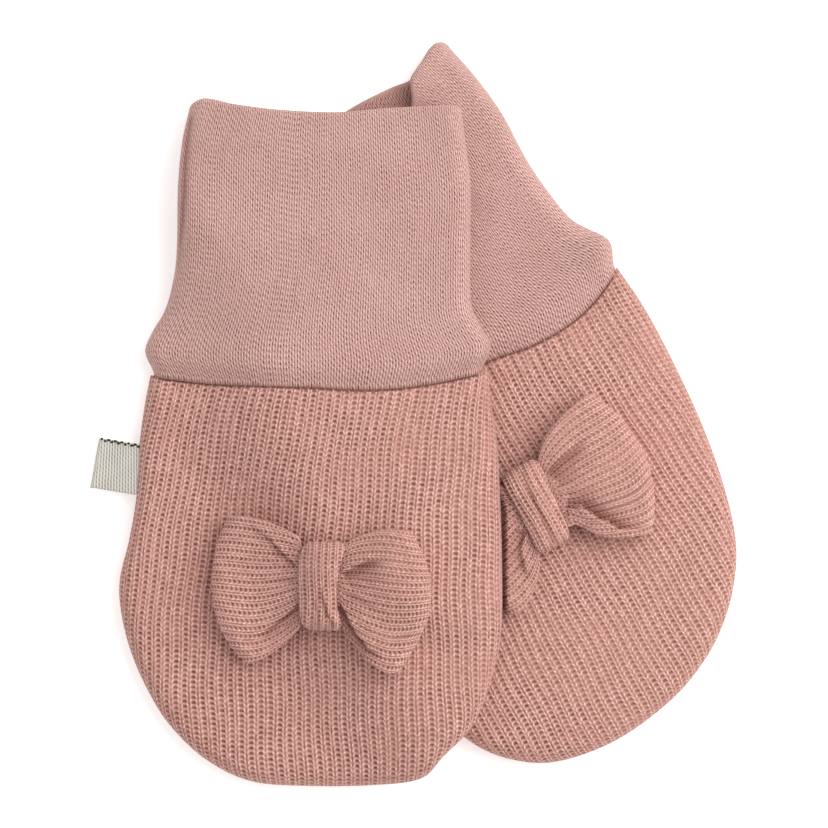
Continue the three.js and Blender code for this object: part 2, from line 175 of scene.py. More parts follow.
class Edge:
    """The edge of a mitten's body, from the seam's left end round the fingertips to its right."""

    SAMPLES = 1400

    def __init__(self, rows):
        points = np.stack([rows["x"], rows["y"]], 1)
        last = len(points) - 1
        t = np.linspace(0, last, self.SAMPLES)
        k = np.minimum(t.astype(int), last - 1)
        f = (t - k)[:, None]
        before, start = points[np.maximum(k - 1, 0)], points[k]
        end, after = points[k + 1], points[np.minimum(k + 2, last)]
        leave, reach = (end - before) / 2, (after - start) / 2
        self.points = (
            (2 * start - 2 * end + leave + reach) * f ** 3
            + (3 * end - 3 * start - 2 * leave - reach) * f ** 2
            + leave * f
            + start
        )
        steps = np.hypot(*np.diff(self.points, axis=0).T)
        self.fraction = np.concatenate([[0], np.cumsum(steps)]) / steps.sum()
        self.length = steps.sum()

    def at(self, fraction, inset=0.0):
        """Points at fractions of the edge's length, moved into the cloth by the inset."""
        fraction = np.asarray(fraction, float)
        step = 0.002
        read = [np.interp(fraction, self.fraction, self.points[:, i]) for i in (0, 1)]
        ahead = [np.interp(fraction + step, self.fraction, self.points[:, i]) for i in (0, 1)]
        behind = [np.interp(fraction - step, self.fraction, self.points[:, i]) for i in (0, 1)]
        dx, dy = ahead[0] - behind[0], ahead[1] - behind[1]
        size = np.hypot(dx, dy)
        return np.stack([read[0] - dy / size * inset, read[1] + dx / size * inset], -1)


# Sizes of the cloth, in millimetres: the solids' own or close to them
PANEL_WALL = 2.0
CUFF_WALL = 2.3
BOW_WALL = 1.4
BAND_WALL = 1.4
LABEL_WALL = 0.45
SEAM_GAP = 0.3
BODY_THICKNESS = 7.4
BODY_CROWN = 0.8
BODY_CROWN_REACH = 22
BODY_SEAM_HEIGHT = 3.6
FRONT_RIM_RADIUS = 4.2
BACK_RIM_RADIUS = 3.4
NECK_DIP = 0.9
NECK_DIP_REACH = 4.5
SEAM_DIP = 0.8
SEAM_DIP_REACH = 0.7
SEAM_GATHER = 0.16
SEAM_GATHER_REACH = 5
SEAM_GATHER_SPACING = 2.9
NECK_TUCK = 0.35
NECK_TUCK_POWER = 12
RIM_SEAM_INSET = 1.35
RIM_SEAM_DEPTH = 0.16
RIM_SEAM_WIDTH = 0.32
TIP_START, TIP_END = 0.4, 0.6
CUFF_LENGTH = 54
CUFF_RIM_RADIUS = 3.4
CUFF_RIM_HEIGHT = 0.46
CUFF_SLOT_RADIUS = 1.2
CUFF_FOOT_RADIUS = 1.15
CUFF_FOOT_TUCK = 0.1
BOW_CLEARANCE = 0.25
BOW_END_RADIUS = 3.0
BOW_CORNER_POWER = 2.4
BOW_RIB_SPAN = 15
BOW_RIB_CLOSER = 1.06
BOW_COURSE_CLOSER = 1.1
BOW_GATHER = 0.14
BOW_GATHERS = 4.5
BOW_SLOT = 0.3
BAND_LENGTH = 17.2
BAND_WIDTH = 8.0
BAND_BULGE = 1.3
BAND_BULGE_POWER = 0.7
BAND_CORNER_RADIUS = 2.6
BAND_RIB_CLOSER = 1.2
DRAPE_RAMP = 24
PRESSED_HALF = 1.3
PRESSED_FROM, PRESSED_TO = 18.3, 16.9
LOBE_REACH, LOBE_FALL = 11, 9
MOUTH_GAPE = 1.0
MOUTH_START, MOUTH_REACH = 30, 20
PRESSED_START, PRESSED_RAMP = 4.5, 2
SEAM_STITCH = 1.57
KNIT_SEED = 7.0
SEAM_STITCH_INSET = 0.25
LABEL_WIDTH = 9.4
LABEL_LENGTH = 8.0
LABEL_STITCHES = 13
LABEL_CURL = 0.12
LABEL_INNER_HEIGHT, LABEL_OUTER_HEIGHT = 3.6, 1.1
LABEL_CORNERS = {
    "inner_top": (-33.6, -12.2), "outer_top": (-42.0, -10.8),
    "inner_bottom": (-34.4, -22.0), "outer_bottom": (-43.7, -20.5),
}

CUFF_HEIGHT = table(
    "y height",
    [0, 6.7], [2.5, 7.7], [5, 7.5], [10, 6.5], [18, 6.1], [40, 6.0], [54, 5.9])
DRAPE_HEIGHT = table(
    "y height",
    [-30, 7.9], [-12, 7.95], [-4, 8.2], [4, 8.3], [12, 7.7], [20, 6.9], [34, 6.6], [54, 6.5])
BOW_SECTION = table(
    "x half middle",
    [0, 1.6, 3.7], [4.6, 1.6, 3.7], [8, 2.4, 3.4], [13, 2.85, 3.25], [24, 2.75, 3.25])

# Fineness of the meshes: cells or stations along each direction
PANEL_CELLS = {"front": (290, 325), "back": (150, 130)}
PANEL_INNER_RATIO = 5
CUFF_STATIONS = 260
BOW_STATIONS = 300
BAND_STATIONS = 140
LABEL_CELLS = (36, 14, 26)

# Colours of the parts that have no setting, in sRGB from 0 to 255
SEAM_THREAD = (150, 98, 88)
SELVAGE_THREAD = (42, 38, 36)
TAPE_LIGHT = (226, 221, 211)
# The tape's grey is painted shade in the grooves between its ribs.
TAPE_GREY = (84, 80, 72)

# The stage, in metres and watts
FLOOR_HALF = 1.5
FLOOR_GLOW = 0.42
SKY_STRENGTH = 0.68
LIGHT_PLACE = (0.6, 0.3, 0.8)
LIGHT_POWER = 9.0
LIGHT_WIDTH = 0.9
SENSOR_WIDTH = 36

cuff_height_at = curve(CUFF_HEIGHT, "y", "height")
drape_height_at = curve(DRAPE_HEIGHT, "y", "height")
bow_half_at = curve(BOW_SECTION, "x", "half")
bow_middle_at = curve(BOW_SECTION, "x", "middle")


class Mitten:
    """One mitten's sizes in its own frame: +x across, +y from the fingertips to the cuff."""

    def __init__(self, name, place, seam, cuff_top, cuff_sides, mouth, body, bow, lean,
                 creases, cuff_folds):
        self.name = name
        self.creases, self.cuff_folds = creases, cuff_folds
        self.x, self.y, self.turn = place["x"], place["y"], math.radians(place["turn"])
        self.seam = curve(seam, "x", "y")
        self.cuff_top = curve(cuff_top, "x", "y")
        self.left = curve(cuff_sides, "y", "left")
        self.right = curve(cuff_sides, "y", "right")
        self.dip = curve(mouth, "x", "dip")
        self.gape = curve(mouth, "x", "gape")
        self.edge = Edge(body)
        self.line = self.edge.at(np.linspace(0, 1, 141))
        self.bow = bow
        self.top_edge = curve(bow["edges"], "x", "top")
        self.bottom_edge = curve(bow["edges"], "x", "bottom")
        ys = np.linspace(0, CUFF_LENGTH, 13)
        self.outline = np.concatenate([
            self.line,
            np.stack([self.right(ys), ys], 1),
            np.stack([self.left(ys[::-1]), ys[::-1]], 1),
        ])
        self.lean = lean

    def edge_distance(self, x, y):
        return np.where(inside(self.line, x, y), distance_to(self.line, x, y), 0)

    def front_top(self, x, y, d=None):
        """Height of the front panel's outer side over its own table."""
        d = self.edge_distance(x, y) if d is None else d
        crown = BODY_CROWN * (1 - ease(d / BODY_CROWN_REACH))
        below_seam = self.seam(x) - y
        dip = NECK_DIP * (1 - ease(below_seam / NECK_DIP_REACH))
        dip = dip + SEAM_DIP * (1 - ease(below_seam / SEAM_DIP_REACH))
        return mix(BODY_SEAM_HEIGHT, BODY_THICKNESS - crown - dip, round_rise(d, FRONT_RIM_RADIUS))

    def to_world(self, x, y):
        c, s = math.cos(self.turn), math.sin(self.turn)
        return self.x + x * c - y * s, self.y + x * s + y * c

    def placed(self, x, y, z):
        """Points in metres in the frame, lifted where this mitten lies on the other."""
        wx, wy = self.to_world(x, y)
        return np.stack([wx, wy, z + lift(self, wx, wy)], -1) * MM

    def wale(self, x, y):
        """Millimetres across the knit's ribs, which lean and fan as the cloth lies."""
        ys = np.linspace(-90, 10, 201)
        slope = np.radians(curve(self.lean, "y", "lean")(ys))
        fan = np.radians(curve(self.lean, "y", "fan")(ys))
        zero = np.argmin(np.abs(ys))
        step = ys[1] - ys[0]
        shift = np.cumsum(np.tan(slope)) * step
        spread = np.cumsum(fan) * step
        shift -= shift[zero]
        spread -= spread[zero]
        return x - np.interp(y, ys, shift) - np.interp(y, ys, spread) * x / 35


UPPER = Mitten(
    "upper",
    {"x": -19.01, "y": 6.05, "turn": 0},
    table("x y",
          [-32.4, 1.2], [-20, -0.2], [0, -1.0], [8, -1.4], [16, -1.1], [24, 0.1], [33.5, 2.2]),
    table("x y",
          [-25, 54.3], [-21.8, 55.5], [-16, 54.3], [-7, 53.1], [4, 52.6], [14, 53.4], [28.2, 54.1]),
    table("y left right",
          [0, -31.9, 32.4], [4.2, -33.5, 34.0], [8.4, -32.0, 32.2], [12.3, -29.9, 30.5],
          [17, -28.4, 30.0], [24, -27.3, 30.0], [39, -26.9, 30.0], [48, -26.1, 29.0],
          [54, -24.9, 28.2]),
    table("x dip gape", [-25, 0, 0], [28, 0, 0]),
    table("x y",
          [-32.4, 1.2], [-33.5, -4], [-34.6, -12], [-35.2, -22], [-36.6, -30.5], [-38.4, -38],
          [-38.3, -44], [-36.6, -51.5], [-33.4, -59.2], [-28.7, -66.8], [-21.5, -73.6],
          [-12.6, -77.8], [-1, -78.7], [11, -78.5], [20.3, -77.1], [24.8, -72.6], [30.4, -66.6],
          [33.8, -58.5], [35.9, -49], [36.1, -36], [35.7, -22], [35.1, -11], [34, -4],
          [33.5, 2.2]),
    {
        "x": 0.6, "y": -39.4, "left": -20.9, "right": 21.7, "pressed": False,
        "straight": (0.25, 0.4), "tilt": (0.05, 0.16),
        "corners": table("end bottom top", [-1, 0.28, 0.14], [1, 0.25, 0.15]),
        "edges": table("x top bottom",
                       [-20.9, 13.2, -13.6], [-17, 13.6, -14.9], [-12, 13.0, -14.6],
                       [-7.6, 11.5, -12.0], [-5.4, 10.5, -10.0], [-4.3, 9.9, -8.8],
                       [-3.7, 9.4, -8.2], [-3.1, 6.8, -6.6],
                       [0, 6.2, -6.2], [3.8, 6.6, -6.3], [5.0, 8.0, -9.0],
                       [7, 9.4, -11.6], [9.9, 10.4, -14.8], [14, 10.9, -16.9],
                       [21.7, 9.8, -13.0]),
        "folds": [
            Fold([(-16, 12.2), (-12.5, 11.4), (-9.6, 9.4), (-7.4, 6.9), (-4.2, 4.0)],
                 0.6, 1.0, 0.8, 0.7, 0.03, 0.12),
            Fold([(-14.0, -10.6), (-10.6, -8.8), (-7.0, -6.1), (-3.8, -3.3)],
                 0.6, 1.2, 0.9, 0.5, 0.03, 0.12),
            Fold([(4.3, -3.4), (7.0, -8.6), (9.6, -11.8), (13.2, -14.3)],
                 0.7, 1.6, 1.3, 0.04, 0.4, 0.15),
            Fold([(4.4, 2.7), (7.0, 3.9), (9.3, 5.0), (13.0, 5.3)], 0.7, 1.8, 1.4, 0.04, 0.5, 0.25),
            Groove([(4.6, -1.0), (9, -3.4), (14, -7)], 0.3, 0.9, 0.2, 0.7),
            Groove([(-4.4, 0.8), (-10, 1.6)], 0.25, 1.0, 0.1, 0.7),
        ],
        "band": table("y left right",
                      [-8.6, -2.2, 4.0], [-7.4, -3.3, 4.4], [-4, -3.8, 3.6], [0, -3.9, 3.5],
                      [5, -3.8, 4.4], [7.6, -3.1, 5.1], [8.6, -2.0, 4.7]),
        "band_folds": [
            Fold([(1.7, 2.5), (0.9, -1.5), (1.5, -4.5), (3.4, -8.2)], 0.5, 1.0, 0.8, 0.5, 0.05, 0.15),
            Fold([(0.9, 0.5), (-0.3, -3.5), (0.6, -8.4)], 0.35, 0.5, 0.7, 0.5, 0.05, 0.15),
            Groove([(-2.7, -8.2), (-2.9, 0), (-2.3, 8.0)], 0.3, 0.4, 0.3, 0.3),
        ],
    },
    table("y lean fan",
          [-90, -3, 1], [-70, -2, 1], [-45, 1.5, -3.5], [-20, 6, -4], [0, 12, -4], [10, 12, -4]),
    [
        Groove([(-35, -30), (-31, -33), (-26, -37)], 0.35, 1.8),
        Groove([(-30, -18), (-24, -8), (-18, -3)], 0.22, 2.4),
        Groove([(33, -58), (28, -66), (22, -73)], 0.4, 2.2),
        Groove([(20, -2), (18, -12), (19, -22)], 0.2, 3.0),
    ],
    [
        Groove([(-24.2, 52.8), (-25.0, 47.3), (-25.4, 43.5), (-25.6, 37.6), (-25.9, 31.8),
                (-26.3, 27.9), (-26.9, 18.1)], 0.55, 0.45, 0.05, 0.4),
    ],
)

LOWER = Mitten(
    "lower",
    {"x": 8.29, "y": 10.53, "turn": 30},
    table("x y",
          [-32.8, 1.0], [-20, -1.0], [-6, -2.2], [6, -3.4], [14, -4.9], [22, -5.0], [29, -3.5],
          [36.2, -0.3]),
    table("x y",
          [-27.3, 52.8], [-15, 52.2], [0, 52.6], [8, 53.0], [16, 52.5], [19.4, 52.0], [23, 53.0],
          [27, 55.6], [29.6, 54.9]),
    table("y left right",
          [0, -32.5, 35.9], [4.5, -33.6, 37.5], [9, -31.4, 35.2], [13, -29.6, 33.3],
          [18, -28.4, 32.3], [27, -27.6, 31.5], [38, -27.4, 31.8], [46, -27.4, 31.0],
          [54, -27.2, 29.4]),
    table("x dip gape",
          [-27, 0, 0], [-10, 0.8, 0.4], [8, 4.6, 0.9], [14, 5.7, 1.0], [17, 5.2, 1.0],
          [18.4, 2.6, 1.0], [19.4, 0.2, 1.0], [21.5, -0.7, 0.8], [24, -0.7, 0.5], [27, 0, 0],
          [29.6, 0, 0]),
    table("x y",
          [-32.8, 1.0], [-33.8, -5], [-34.8, -14], [-35.8, -26], [-37.2, -38], [-38.2, -49],
          [-37.6, -57.5], [-34.6, -66.5], [-29.6, -73], [-22, -77.8], [-10, -79.9], [3, -78.5],
          [12.7, -75], [20.2, -70], [26, -63.8], [30, -57], [33.2, -46.5], [35.4, -34],
          [36.6, -20], [36.9, -9], [36.2, -0.3]),
    {
        "x": -0.8, "y": -32.5, "left": -18.5, "right": 23.4, "pressed": True,
        "straight": (0.5, 0.2), "tilt": (0.1, 0.05),
        "corners": table("end bottom top", [-1, 0.16, 0.10], [1, 0.25, 0.12]),
        "edges": table("x top bottom",
                       [-18.5, 11, -14], [-13, 11.8, -16], [-8, 9.8, -13.4], [-5.4, 8.6, -10.4],
                       [-4.3, 7.6, -8.6], [-3.5, 6.6, -6.8], [0, 6.2, -6.2], [3.8, 6.6, -6.6],
                       [5.0, 8.2, -7.0], [7.7, 10.7, -11.0], [13.3, 12.9, -14.4],
                       [18, 13.8, -15.3], [23.4, 13.6, -12.8]),
        "folds": [
            Fold([(17.2, -15.1), (11.8, -12.0), (9.2, -8.1), (7.6, -4.6), (4.6, -3.1)],
                 0.9, 2.4, 1.4, 0.6, 0.04, 0.15),
            Fold([(4.6, 5.0), (8.0, 5.8), (11.2, 6.3), (15.5, 7.4)], 0.7, 2.0, 1.5, 0.06, 0.6, 0.4),
            Groove([(4.6, 1.5), (12, 2.6)], 0.3, 0.9, 0.1, 0.7),
            Fold([(-4, -2.9), (-7.0, -5.9), (-7.9, -9.0), (-7.6, -12)], 0.6, 1.2, 1.4, 0.08, 0.4),
        ],
        "band": table("y left right",
                      [-8.6, -3.4, 2.2], [-7.4, -4.2, 3.0], [-4, -3.9, 3.5], [0, -3.6, 3.9],
                      [4, -3.4, 4.4], [7.6, -3.3, 4.5], [8.6, -2.6, 3.8]),
        "band_folds": [
            Groove([(0.8, 8.2), (-0.1, 0.4), (-0.8, -8.4)], 0.8, 0.5, 0.06, 0.06),
            Groove([(2.4, -8), (2.2, 0), (2.8, 8)], 0.3, 0.6, 0.3, 0.3),
        ],
    },
    table("y lean fan",
          [-90, 2, 0], [-70, 2, -1], [-45, 0.5, -4], [-20, 0.5, -4], [0, 5, -2], [10, 5, -2]),
    [
        Groove([(30, -3), (26, -12), (22, -22)], 0.25, 2.6),
        Groove([(2, -68), (12, -62), (22, -52)], 0.25, 3.2),
        Groove([(31, -30), (31, -40), (28, -50)], 0.2, 2.5),
    ],
    [],
)

MITTENS = {"upper": UPPER, "lower": LOWER}


def lift(mitten, wx, wy):
    """How far a mitten is lifted: only the upper one is, where it lies on the lower one."""
    if mitten is LOWER:
        return np.zeros(np.shape(wx))
    c, s = math.cos(LOWER.turn), math.sin(LOWER.turn)
    dx, dy = wx - LOWER.x, wy - LOWER.y
    u, v = dx * c + dy * s, dy * c - dx * s
    out = np.where(inside(LOWER.outline, u, v), 0, distance_to(LOWER.outline, u, v))
    gape = MOUTH_GAPE * ease((v - 26) / 16)
    bow = LOWER.bow
    lobe = np.array([[bow["x"] + bow["left"], bow["y"]], [bow["x"] - BAND_WIDTH, bow["y"]]])
    over_lobe = 1 - ease((distance_to(lobe, u, v) - LOBE_REACH) / LOBE_FALL)
    pressed = 2 * PRESSED_HALF + BOW_CLEARANCE
    ramp = 1 - ease(out / DRAPE_RAMP)
    return (drape_height_at(v) + gape + pressed * over_lobe) * ramp


# Meshes

def new_object(name, data):
    """A new object in the scene that holds the data."""
    piece = bpy.data.objects.new(name, data)
    bpy.context.scene.collection.objects.link(piece)
    return piece


class Skin:
    """Grids of points and the faces between them, which become one closed mesh."""

    def __init__(self):
        self.points, self.knit, self.shade, self.faces, self.count = [], [], [], [], 0

    def add(self, points, wale=0.0, course=0.0, relief=0.0, shade=0.0):
        """Adds a grid of points with their place in the knit, and gives their numbers."""
        shape = points.shape[:-1]
        self.points.append(points.reshape(-1, 3))
        knit = np.stack([np.broadcast_to(v, shape) for v in (wale, course, relief)], -1)
        self.knit.append(knit.reshape(-1, 3))
        self.shade.append(np.broadcast_to(shade, shape).reshape(-1))
        numbers = np.arange(self.count, self.count + self.points[-1].shape[0]).reshape(shape)
        self.count += self.points[-1].shape[0]
        return numbers

    def quads(self, grid):
        corners = [grid[:-1, :-1], grid[1:, :-1], grid[1:, 1:], grid[:-1, 1:]]
        self.faces.append(np.stack(corners, -1).reshape(-1, 4))

    def zip_edges(self, fine, coarse, ratio):
        """Faces between a fine border and a coarse one with a point for every few of its own."""
        for i in range(len(coarse) - 1):
            near, far = coarse[i], coarse[i + 1]
            run = fine[i * ratio:(i + 1) * ratio + 1]
            half = ratio // 2
            fans = [[near, run[j + 1], run[j]] for j in range(half)]
            fans.append([near, far, run[half]])
            fans += [[far, run[j + 1], run[j]] for j in range(half, ratio)]
            self.faces.append(np.array(fans))

    def build(self, name):
        """The mesh object, with its faces turned outwards by the sign of its volume."""
        points = np.concatenate(self.points)
        volume = 0.0
        for faces in self.faces:
            for k in range(1, faces.shape[1] - 1):
                a, b, c = points[faces[:, 0]], points[faces[:, k]], points[faces[:, k + 1]]
                volume += float(np.einsum("ij,ij->i", a, np.cross(b, c)).sum())
        faces = [f if volume > 0 else f[:, ::-1] for f in self.faces]
        mesh = bpy.data.meshes.new(name)
        sizes = np.concatenate([np.full(len(f), f.shape[1]) for f in faces])
        corners = np.concatenate([f.reshape(-1) for f in faces])
        mesh.vertices.add(len(points))
        mesh.vertices.foreach_set("co", points.astype(np.float32).reshape(-1))
        mesh.loops.add(len(corners))
        mesh.loops.foreach_set("vertex_index", corners.astype(np.int32))
        mesh.polygons.add(len(sizes))
        starts = np.concatenate([[0], np.cumsum(sizes)[:-1]])
        mesh.polygons.foreach_set("loop_start", starts.astype(np.int32))
        mesh.update(calc_edges=True)
        mesh.polygons.foreach_set("use_smooth", np.ones(len(sizes), bool))
        knit = mesh.attributes.new("knit", "FLOAT_VECTOR", "POINT")
        knit.data.foreach_set("vector", np.concatenate(self.knit).astype(np.float32).reshape(-1))
        shade = mesh.attributes.new("shade", "FLOAT", "POINT")
        shade.data.foreach_set("value", np.concatenate(self.shade).astype(np.float32))
        mesh.validate()
        return new_object(name, mesh)


def crowded(cells, share=0.06, amount=3.0):
    """Steps from 0 to 1 that are closer together near both ends, where the cloth turns."""
    t = np.linspace(0, 1, cells + 1)
    near = np.minimum(t, 1 - t)
    weight = 1 / (1 + amount * np.exp(-(near / share) ** 2))
    gaps = (weight[1:] + weight[:-1]) / 2
    steps = np.concatenate([[0], np.cumsum(gaps)])
    return steps / steps[-1]


def border(grid):
    """The numbers round a grid's edge, back to the first."""
    return np.concatenate([grid[0], grid[1:, -1], grid[-1, :-1][::-1], grid[:-1, 0][::-1]])


def patch(mitten, across, along, inset):
    """Plan points of a panel between the seam and the edge, on a grid of fractions."""
    u, v = np.meshgrid(across, along)
    start, end = mitten.edge.at([0.0, 1.0], inset)
    x = mix(start[0], end[0], u)
    seam_row = np.stack([x, mitten.seam(x)], -1)
    tip_row = mitten.edge.at(mix(TIP_START, TIP_END, u), inset)
    left, right = mitten.edge.at(v * TIP_START, inset), mitten.edge.at(1 - v * (1 - TIP_END), inset)
    left[..., 1] += (mitten.seam(start[0]) - start[1]) * (1 - v)
    right[..., 1] += (mitten.seam(end[0]) - end[1]) * (1 - v)
    u, v = u[..., None], v[..., None]
    corners = mix(mix(seam_row[:1, :1], seam_row[:1, -1:], u),
                  mix(tip_row[:1, :1], tip_row[:1, -1:], u), v)
    points = mix(seam_row, tip_row, v) + mix(left, right, u) - corners
    points[..., 1] += NECK_TUCK * (1 - v[..., 0]) ** NECK_TUCK_POWER
    return points[..., 0], points[..., 1]


def drift(x, y):
    """Slow unevenness of the knit, as extra millimetres across and along its ribs."""
    across = 0.16 * np.sin(0.23 * x + 0.11 * y) + 0.12 * np.sin(0.37 * y - 0.14 * x + 1.7)
    along = 0.35 * np.sin(0.17 * x + 0.4) + 0.2 * np.sin(0.41 * x + 0.07 * y) + 0.1 * x
    return across, along


def round_rim(mitten, x, y, d):
    """Plan points moved outwards by as much as the cloth is longer than its plan round the rim."""
    turned = np.clip(1 - d / FRONT_RIM_RADIUS, 0, 1)
    longer = FRONT_RIM_RADIUS * (np.arcsin(turned) - turned)
    _, along = beside(mitten.line, x, y)
    out = mitten.edge.at(along) - mitten.edge.at(along, 1.0)
    return x + out[..., 0] * longer, y + out[..., 1] * longer


def panel(mitten, side, cells, ratio, relief):
    """A front or back panel: a fine outer sheet, a coarse inner one and the edge between them."""
    across, along = crowded(cells[0]), crowded(cells[1])
    x, y = patch(mitten, across, along, 0)
    rim = np.zeros(x.shape, bool)
    rim[-1, :] = rim[:, 0] = rim[:, -1] = True
    d = np.where(rim, 0, mitten.edge_distance(x, np.minimum(y, mitten.seam(x) - 0.01)))
    if side == "front":
        rim_seam = np.exp(-((d - RIM_SEAM_INSET) / RIM_SEAM_WIDTH) ** 2)
        rim_seam = rim_seam * ease((mitten.seam(x) - y) / 4)
        creases = height_of(mitten.creases, x, y) * ease(d / 5)
        below = np.maximum(mitten.seam(x) - y, 0)
        gathers = np.sin(math.tau * x / SEAM_GATHER_SPACING + 1.6 * np.sin(0.45 * x))
        gathers = gathers * np.exp(-below / SEAM_GATHER_REACH)
        creases = creases + SEAM_GATHER * gathers * ease(below) * ease(d / 4)
        z = mitten.front_top(x, y, d) + creases - RIM_SEAM_DEPTH * rim_seam
        # Painted shade: in the groove of the rim seam, in a line under the cuff, and along the rim where
        # the front rounds down.
        shade = 0.25 * rim_seam + 0.3 * (1 - ease(below / 0.6)) + 0.12 * (1 - ease(d / 2.5))
    else:
        z = BODY_SEAM_HEIGHT * (1 - round_rise(d, BACK_RIM_RADIUS))
        shade = 0.0
    knit_x, knit_y = round_rim(mitten, x, y, d)
    skin = Skin()
    shown = ease((d - RIM_SEAM_INSET) / 0.8) * ease((mitten.seam(x) - y - 0.3) / 0.8) * relief
    extra_wale, extra_course = drift(knit_x, knit_y)
    wale = mitten.wale(knit_x, knit_y) + extra_wale
    outer = skin.add(mitten.placed(x, y, z), wale, knit_y + extra_course, shown, shade)
    xi, yi = patch(mitten, across[::ratio], along[::ratio], PANEL_WALL)
    di = np.maximum(mitten.edge_distance(xi, yi) - PANEL_WALL, 0)
    if side == "front":
        top = mitten.front_top(xi, yi) - PANEL_WALL
        zi = mix(BODY_SEAM_HEIGHT, top, round_rise(di, FRONT_RIM_RADIUS))
    else:
        zi = mix(BODY_SEAM_HEIGHT, PANEL_WALL, round_rise(di, BACK_RIM_RADIUS))
    inner = skin.add(mitten.placed(xi, yi, zi), mitten.wale(xi, yi), yi)
    skin.quads(outer)
    skin.quads(inner[:, ::-1])
    skin.zip_edges(border(outer), border(inner), ratio)
    return skin.build(f"{mitten.name}_{side}_panel")


def ring(stations):
    """Stations round a flattened loop, from the middle underneath and back to it."""
    half = crowded(stations // 2, 0.08, 4.0)
    under = 0.5 * (1 - np.linspace(0, 1, stations // 4 + 1))
    across = np.concatenate([under[:-1], half[:-1], 1 - under[::-1]])
    over = np.concatenate([np.zeros(len(under) - 1), np.ones(len(half) - 1), np.zeros(len(under))])
    way = np.concatenate([-0.5 - under[:-1], half[:-1] - 0.5, 0.5 + under[::-1]])
    return across, over.astype(bool), way


def loop_rows(outer, inner, edge_steps):
    """Rows along a loop: (along, depth, bulge), outside, round one edge, inside, and back."""
    angle = np.pi * np.arange(1, edge_steps) / edge_steps
    turn, bulge = (1 - np.cos(angle)) / 2, np.sin(angle)
    rows = [(a, 0, 0) for a in outer]
    rows += [(1, t, b) for t, b in zip(turn, bulge)]
    rows += [(a, 1, 0) for a in inner[::-1]]
    rows += [(0, 1 - t, b) for t, b in zip(turn, bulge)]
    return np.array(rows + rows[:1])


def round_length(points, way, over):
    """Distance round each row of a loop, from the middle of its top."""
    steps = np.linalg.norm(np.diff(points, axis=1), axis=-1) / MM
    length = np.concatenate([np.zeros((len(points), 1)), np.cumsum(steps, axis=1)], 1)
    middle = np.argmin(np.where(over, np.abs(way), 1))
    return length - length[:, middle:middle + 1]


def loop(name, stations, rows, place, read_knit):
    """A closed flattened loop of cloth, whose two ends meet underneath."""
    across, over, way = ring(stations)
    along, depth, bulge = (rows[:, i:i + 1] for i in range(3))
    points, plan, shade = place(across[None], over[None], along, depth, bulge)
    length = round_length(points, way, over)
    wale, course, relief = read_knit(length, plan, along, depth, bulge)
    skin = Skin()
    fields = [np.broadcast_to(v, length.shape)[:-1, :-1] for v in (wale, course, relief, shade)]
    grid = skin.add(points[:-1, :-1], *fields)
    grid = np.concatenate([grid, grid[:, :1]], 1)
    grid = np.concatenate([grid, grid[:1]], 0)
    skin.quads(grid)
    return skin.build(name)


def cuff(mitten, stations, rows):
    """The double cuff: a flattened tube with a folded top edge, puffed over the body's seam."""
    nominal = mitten.right(30) - mitten.left(30)

    def place(across, over, along, depth, bulge):
        y = along * CUFF_LENGTH
        inset = CUFF_WALL * depth
        low, high = mitten.left(y) + inset, mitten.right(y) - inset
        x = mix(low, high, across)
        height = cuff_height_at(y) + mitten.gape(x) * ease((y - MOUTH_START) / MOUTH_REACH)
        middle = mix(height * CUFF_RIM_HEIGHT, height / 2, depth)
        target = np.where(over, height - inset, inset)
        radius = mix(CUFF_RIM_RADIUS, CUFF_SLOT_RADIUS, depth)
        z = mix(middle, target, round_rise(np.minimum(x - low, high - x), radius))
        top = mitten.cuff_top(x) - CUFF_WALL / 2 - np.where(over, mitten.dip(x), 0)
        foot = mitten.seam(x) + CUFF_FOOT_RADIUS - CUFF_FOOT_TUCK
        edge = np.where(along == 1, CUFF_WALL / 2, -CUFF_FOOT_RADIUS)
        placed_y = mix(foot, top, along) + edge * bulge
        x = x + 0 * placed_y
        folds = np.where(over, height_of(mitten.cuff_folds, x, placed_y), 0)
        # Painted shade: in the cuff's folds and grooves, along its foot over the seam, and on its inner
        # layers.
        shade = np.where(over, np.clip(-1.8 * folds, 0, 0.8), 0) * (1 - depth)
        shade = shade + 0.4 * (along == 0) * ease(bulge) + 0.3 * depth
        return mitten.placed(x, placed_y, z + folds), (x, placed_y), shade

    def read_knit(length, plan, along, depth, bulge):
        y = along * CUFF_LENGTH
        width = mitten.right(y) - mitten.left(y)
        extra_wale, extra_course = drift(*plan)
        wale = length * nominal / width + 0.5 * extra_wale
        return wale, plan[1] + extra_course + depth * CUFF_WALL, 0.0

    return loop(f"{mitten.name}_folded_cuff", stations, rows, place, read_knit)


